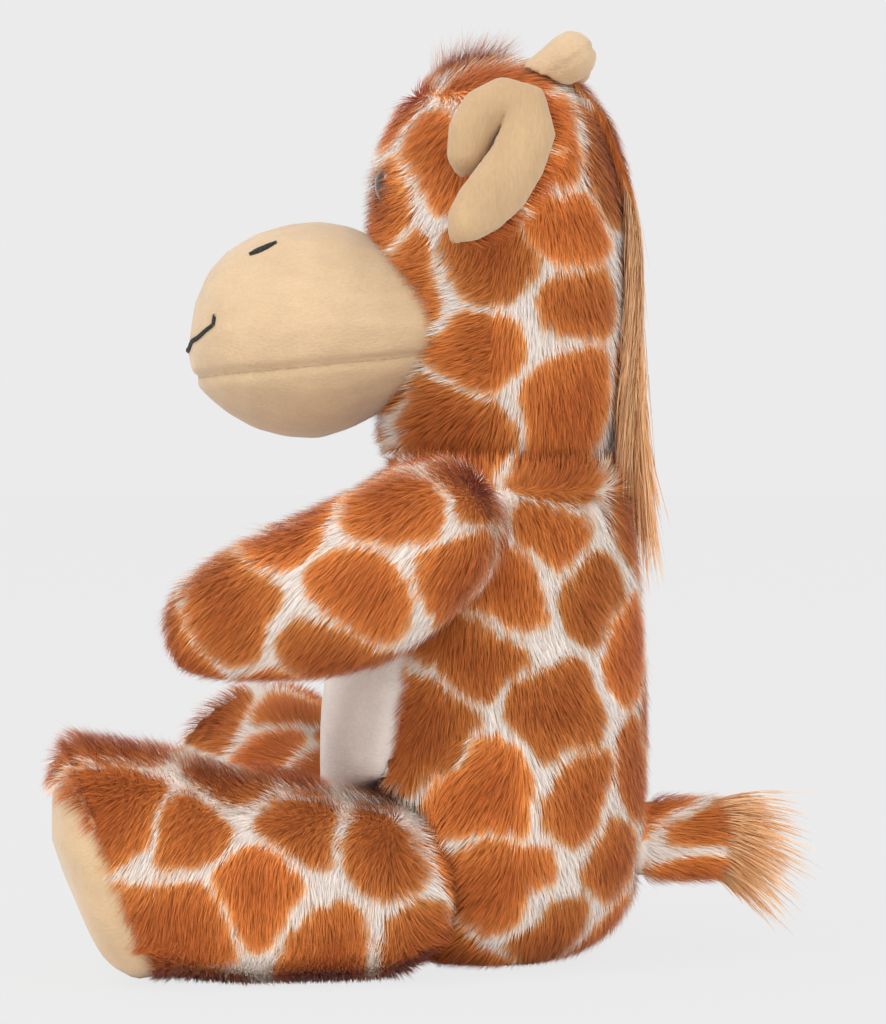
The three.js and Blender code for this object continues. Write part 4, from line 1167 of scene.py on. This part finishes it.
for name, side in sides:
    splay = math.radians(leg_splay[name])
    hip = Vector(next(j for j in frame["joints"] if j["name"] == f"hip_{name}")["pos_m"])
    run = Vector((side * math.sin(splay), -math.cos(splay), 0))
    sole = Vector((hip.x, hip.y, sole_height)) + run * leg_reach
    up = Vector((0, 0, 1))
    across_leg = up.cross(run)
    sole_normal = Matrix.Rotation(sole_tilt, 3, across_leg) @ run
    leg_nodes = [f"leg_cover_{name}", f"leg_stuffing_{name}"]
    form = stuffed_skin(
        f"leg_form_{name}", [*leg_nodes, f"foot_pad_{name}"], pressure=3, depth=0
    )
    places = points_of(form)
    beyond = plane_distance(places, sole, sole_normal)
    share = share_of(beyond / pad_round + 0.8)
    depth = root_depth - (root_depth + pad_swell[name]) * share * share * (3 - 2 * share)
    depth += seam_groove * np.exp(-((beyond / groove_reach) ** 2))
    toe = share_of((places[:, 2] - toe_low) / toe_rise)
    toe = toe * share_of(beyond / toe_length + 1)
    pressed = normals_of(form) * depth[:, None] + np.array(run) * toe_back * toe[:, None]
    # The leg lies flat on its own weight, and its outer side bulges over the floor.
    low = share_of(1 - places[:, 2] / floor_zone)
    outer = share_of(np.tanh(plane_distance(places, hip, across_leg) * side / 0.012))
    places += np.array(across_leg) * (side * floor_bulge * low * outer)[:, None]
    places[:, 2] *= 1 - floor_press * low * outer
    places -= pressed
    places[:, 2] = np.maximum(places[:, 2], floor_gap)
    set_points(form, places)
    pad, leg = halves(form, (f"foot_pad_cloth_{name}", f"leg_cloth_{name}"), sole, sole_normal)
    for piece in (pad, leg):
        picked(piece)
        bpy.ops.object.shade_smooth()

    finish_cloth(pad, sole_paint, f"leg_{name}", [f"foot_pad_{name}"])
    seen = on_skin(tree_of(leg), leg_patches[name])
    pattern = finish_fur(leg, f"leg_{name}", leg_nodes, seen, leg_seed + side, leg_seed)

    def thigh_end(points):
        """1 at the leg's round end beside the body, 0 along the rest of it."""
        return share_of((plane_distance(points, hip, -run) + 0.004) / 0.012)

    def over_leg(points, normals):
        """Down the sides and out over the floor, forwards on top, and back at the thigh."""
        by_pad = share_of(1 + plane_distance(points, sole, sole_normal)[:, None] / 0.014)
        over = share_of(normals[:, 2:]) * (1 - by_pad) + by_pad * (name in pad_covered)
        forwards = 0.1 + 0.9 * over - 1.3 * thigh_end(points)[:, None]
        low = share_of((spread_zone - points[:, 2:]) / spread_rise)
        aside = np.sign(plane_distance(points, hip, across_leg))[:, None] * np.array(across_leg)
        down = np.array((0, 0, -1)) * (1 - low) + 1.4 * aside * low
        return down + np.array(run) * forwards

    def leg_ruffle(points, normals):
        return 22 * share_of(normals[:, 2] * 2 - 0.9) + 12 * thigh_end(points)

    def on_leg(way):
        """The half of the leg that lies this way across it."""
        return lambda root, normal: (
            plane_distance(root, sole, sole_normal) < -fur_hem_gap[name]
        ) & (plane_distance(root, hip, across_leg) * way > 0)

    def on_toe(root, normal):
        """The pad's top, over which the fur closes."""
        return plane_distance(root, sole, (up - run).normalized()) > 0.0063

    furry = [("outer", leg, on_leg(side)), ("inner", leg, on_leg(-side))]
    if name in pad_covered:
        furry.append(("toe", pad, on_toe))
    for part, skin, keep in furry:
        seed = leg_seed + len(part) + side
        grow_pile(
            f"leg_pile_{part}_{name}", skin, f"leg_{name}", over_leg, seed, pattern,
            avoid=body_solids, keep=keep, ruffle=leg_ruffle,
        )

# Tail: a stuffed stub of fur sewn into the back of the body, with a tuft of long hair in its end.
# The stub is kept round up to the tuft, and its pile runs back along it.
tail_patches = [(705, 828), (665, 805), (700, 870)]
tail_seed = 91
tail_height, tail_root, tail_end, tail_girth = 0.038, 0.030, 0.068, 0.0118
tail_nodes = ["tail_cover", "tail_stuffing"]
tail = stuffed_skin("tail_cloth", tail_nodes, cell=0.003)
places = points_of(tail)
off_axis = places[:, [0, 2]] - (0, tail_height)
radius = np.linalg.norm(off_axis, axis=1, keepdims=True)
outside = share_of((places[:, 1:2] - tail_root) / 0.004) * (places[:, 1:2] < tail_end - 0.008)
wanted = np.maximum(radius, tail_girth)
places[:, [0, 2]] += off_axis * (wanted / np.maximum(radius, 1e-6) - 1) * outside
set_points(tail, places)
tail_seen = on_skin(tree_of(tail), tail_patches)
tail_pattern = finish_fur(tail, "tail", tail_nodes, tail_seen, tail_seed, spacing=0.022)
grow_pile(
    "tail_pile", tail, "tail", combed(0, 1, -0.35), tail_seed, tail_pattern,
    avoid=("body_cover", "body_stuffing"),
)

chance = np.random.default_rng(tail_seed)
tuft_hairs, tuft_length, tuft_droop = 2200, 0.040, (0, 0, -0.10)
turn = chance.uniform(0, 2 * math.pi, tuft_hairs)
out = np.sqrt(chance.random(tuft_hairs))
aside, rise = out * np.cos(turn), out * np.sin(turn)
roots = [0.010 * aside, tail_end - 0.006 - 0.004 * out, tail_height + 0.0115 * rise]
ways = np.stack([0.3 * aside, np.ones(tuft_hairs), 0.5 * rise], axis=1)
lengths = tuft_length * np.clip(chance.beta(2.2, 3.6, tuft_hairs), 0.3, 1)
tuft = loose_hair("tail_tuft_hair", np.stack(roots, axis=1), ways, lengths, tuft_droop, chance)
finish_cloth(tuft, hair_paint, "tail", ["tail_tuft"])

# Inside the cloths: white fibre, stuffed in through a gap in a seam that is then closed, and the
# plastic washers that are pressed on the eyes' stems behind the cloth.
fibre_paint, tree = new_paint("stuffing")
curls = bumps(tree, noise(tree, 400, 4), 0.7, 0.002)
finish_paint(tree, {"Base Color": (0.82, 0.81, 0.78, 1), "Roughness": 0.95, "Normal": curls})
washer_paint, tree = new_paint("washer_plastic")
dull = scaled(tree, noise(tree, 900, 2), 0.2, 0.35)
finish_paint(tree, {"Base Color": (0.75, 0.75, 0.72, 1), "Roughness": dull})
for node_name, node in frame["nodes"].items():
    if not node.hide_render and "eye_" in node_name and "washer" not in node_name:
        continue
    paint = washer_paint if "washer" in node_name else fibre_paint
    node.data.materials.clear()
    node.data.materials.append(paint)
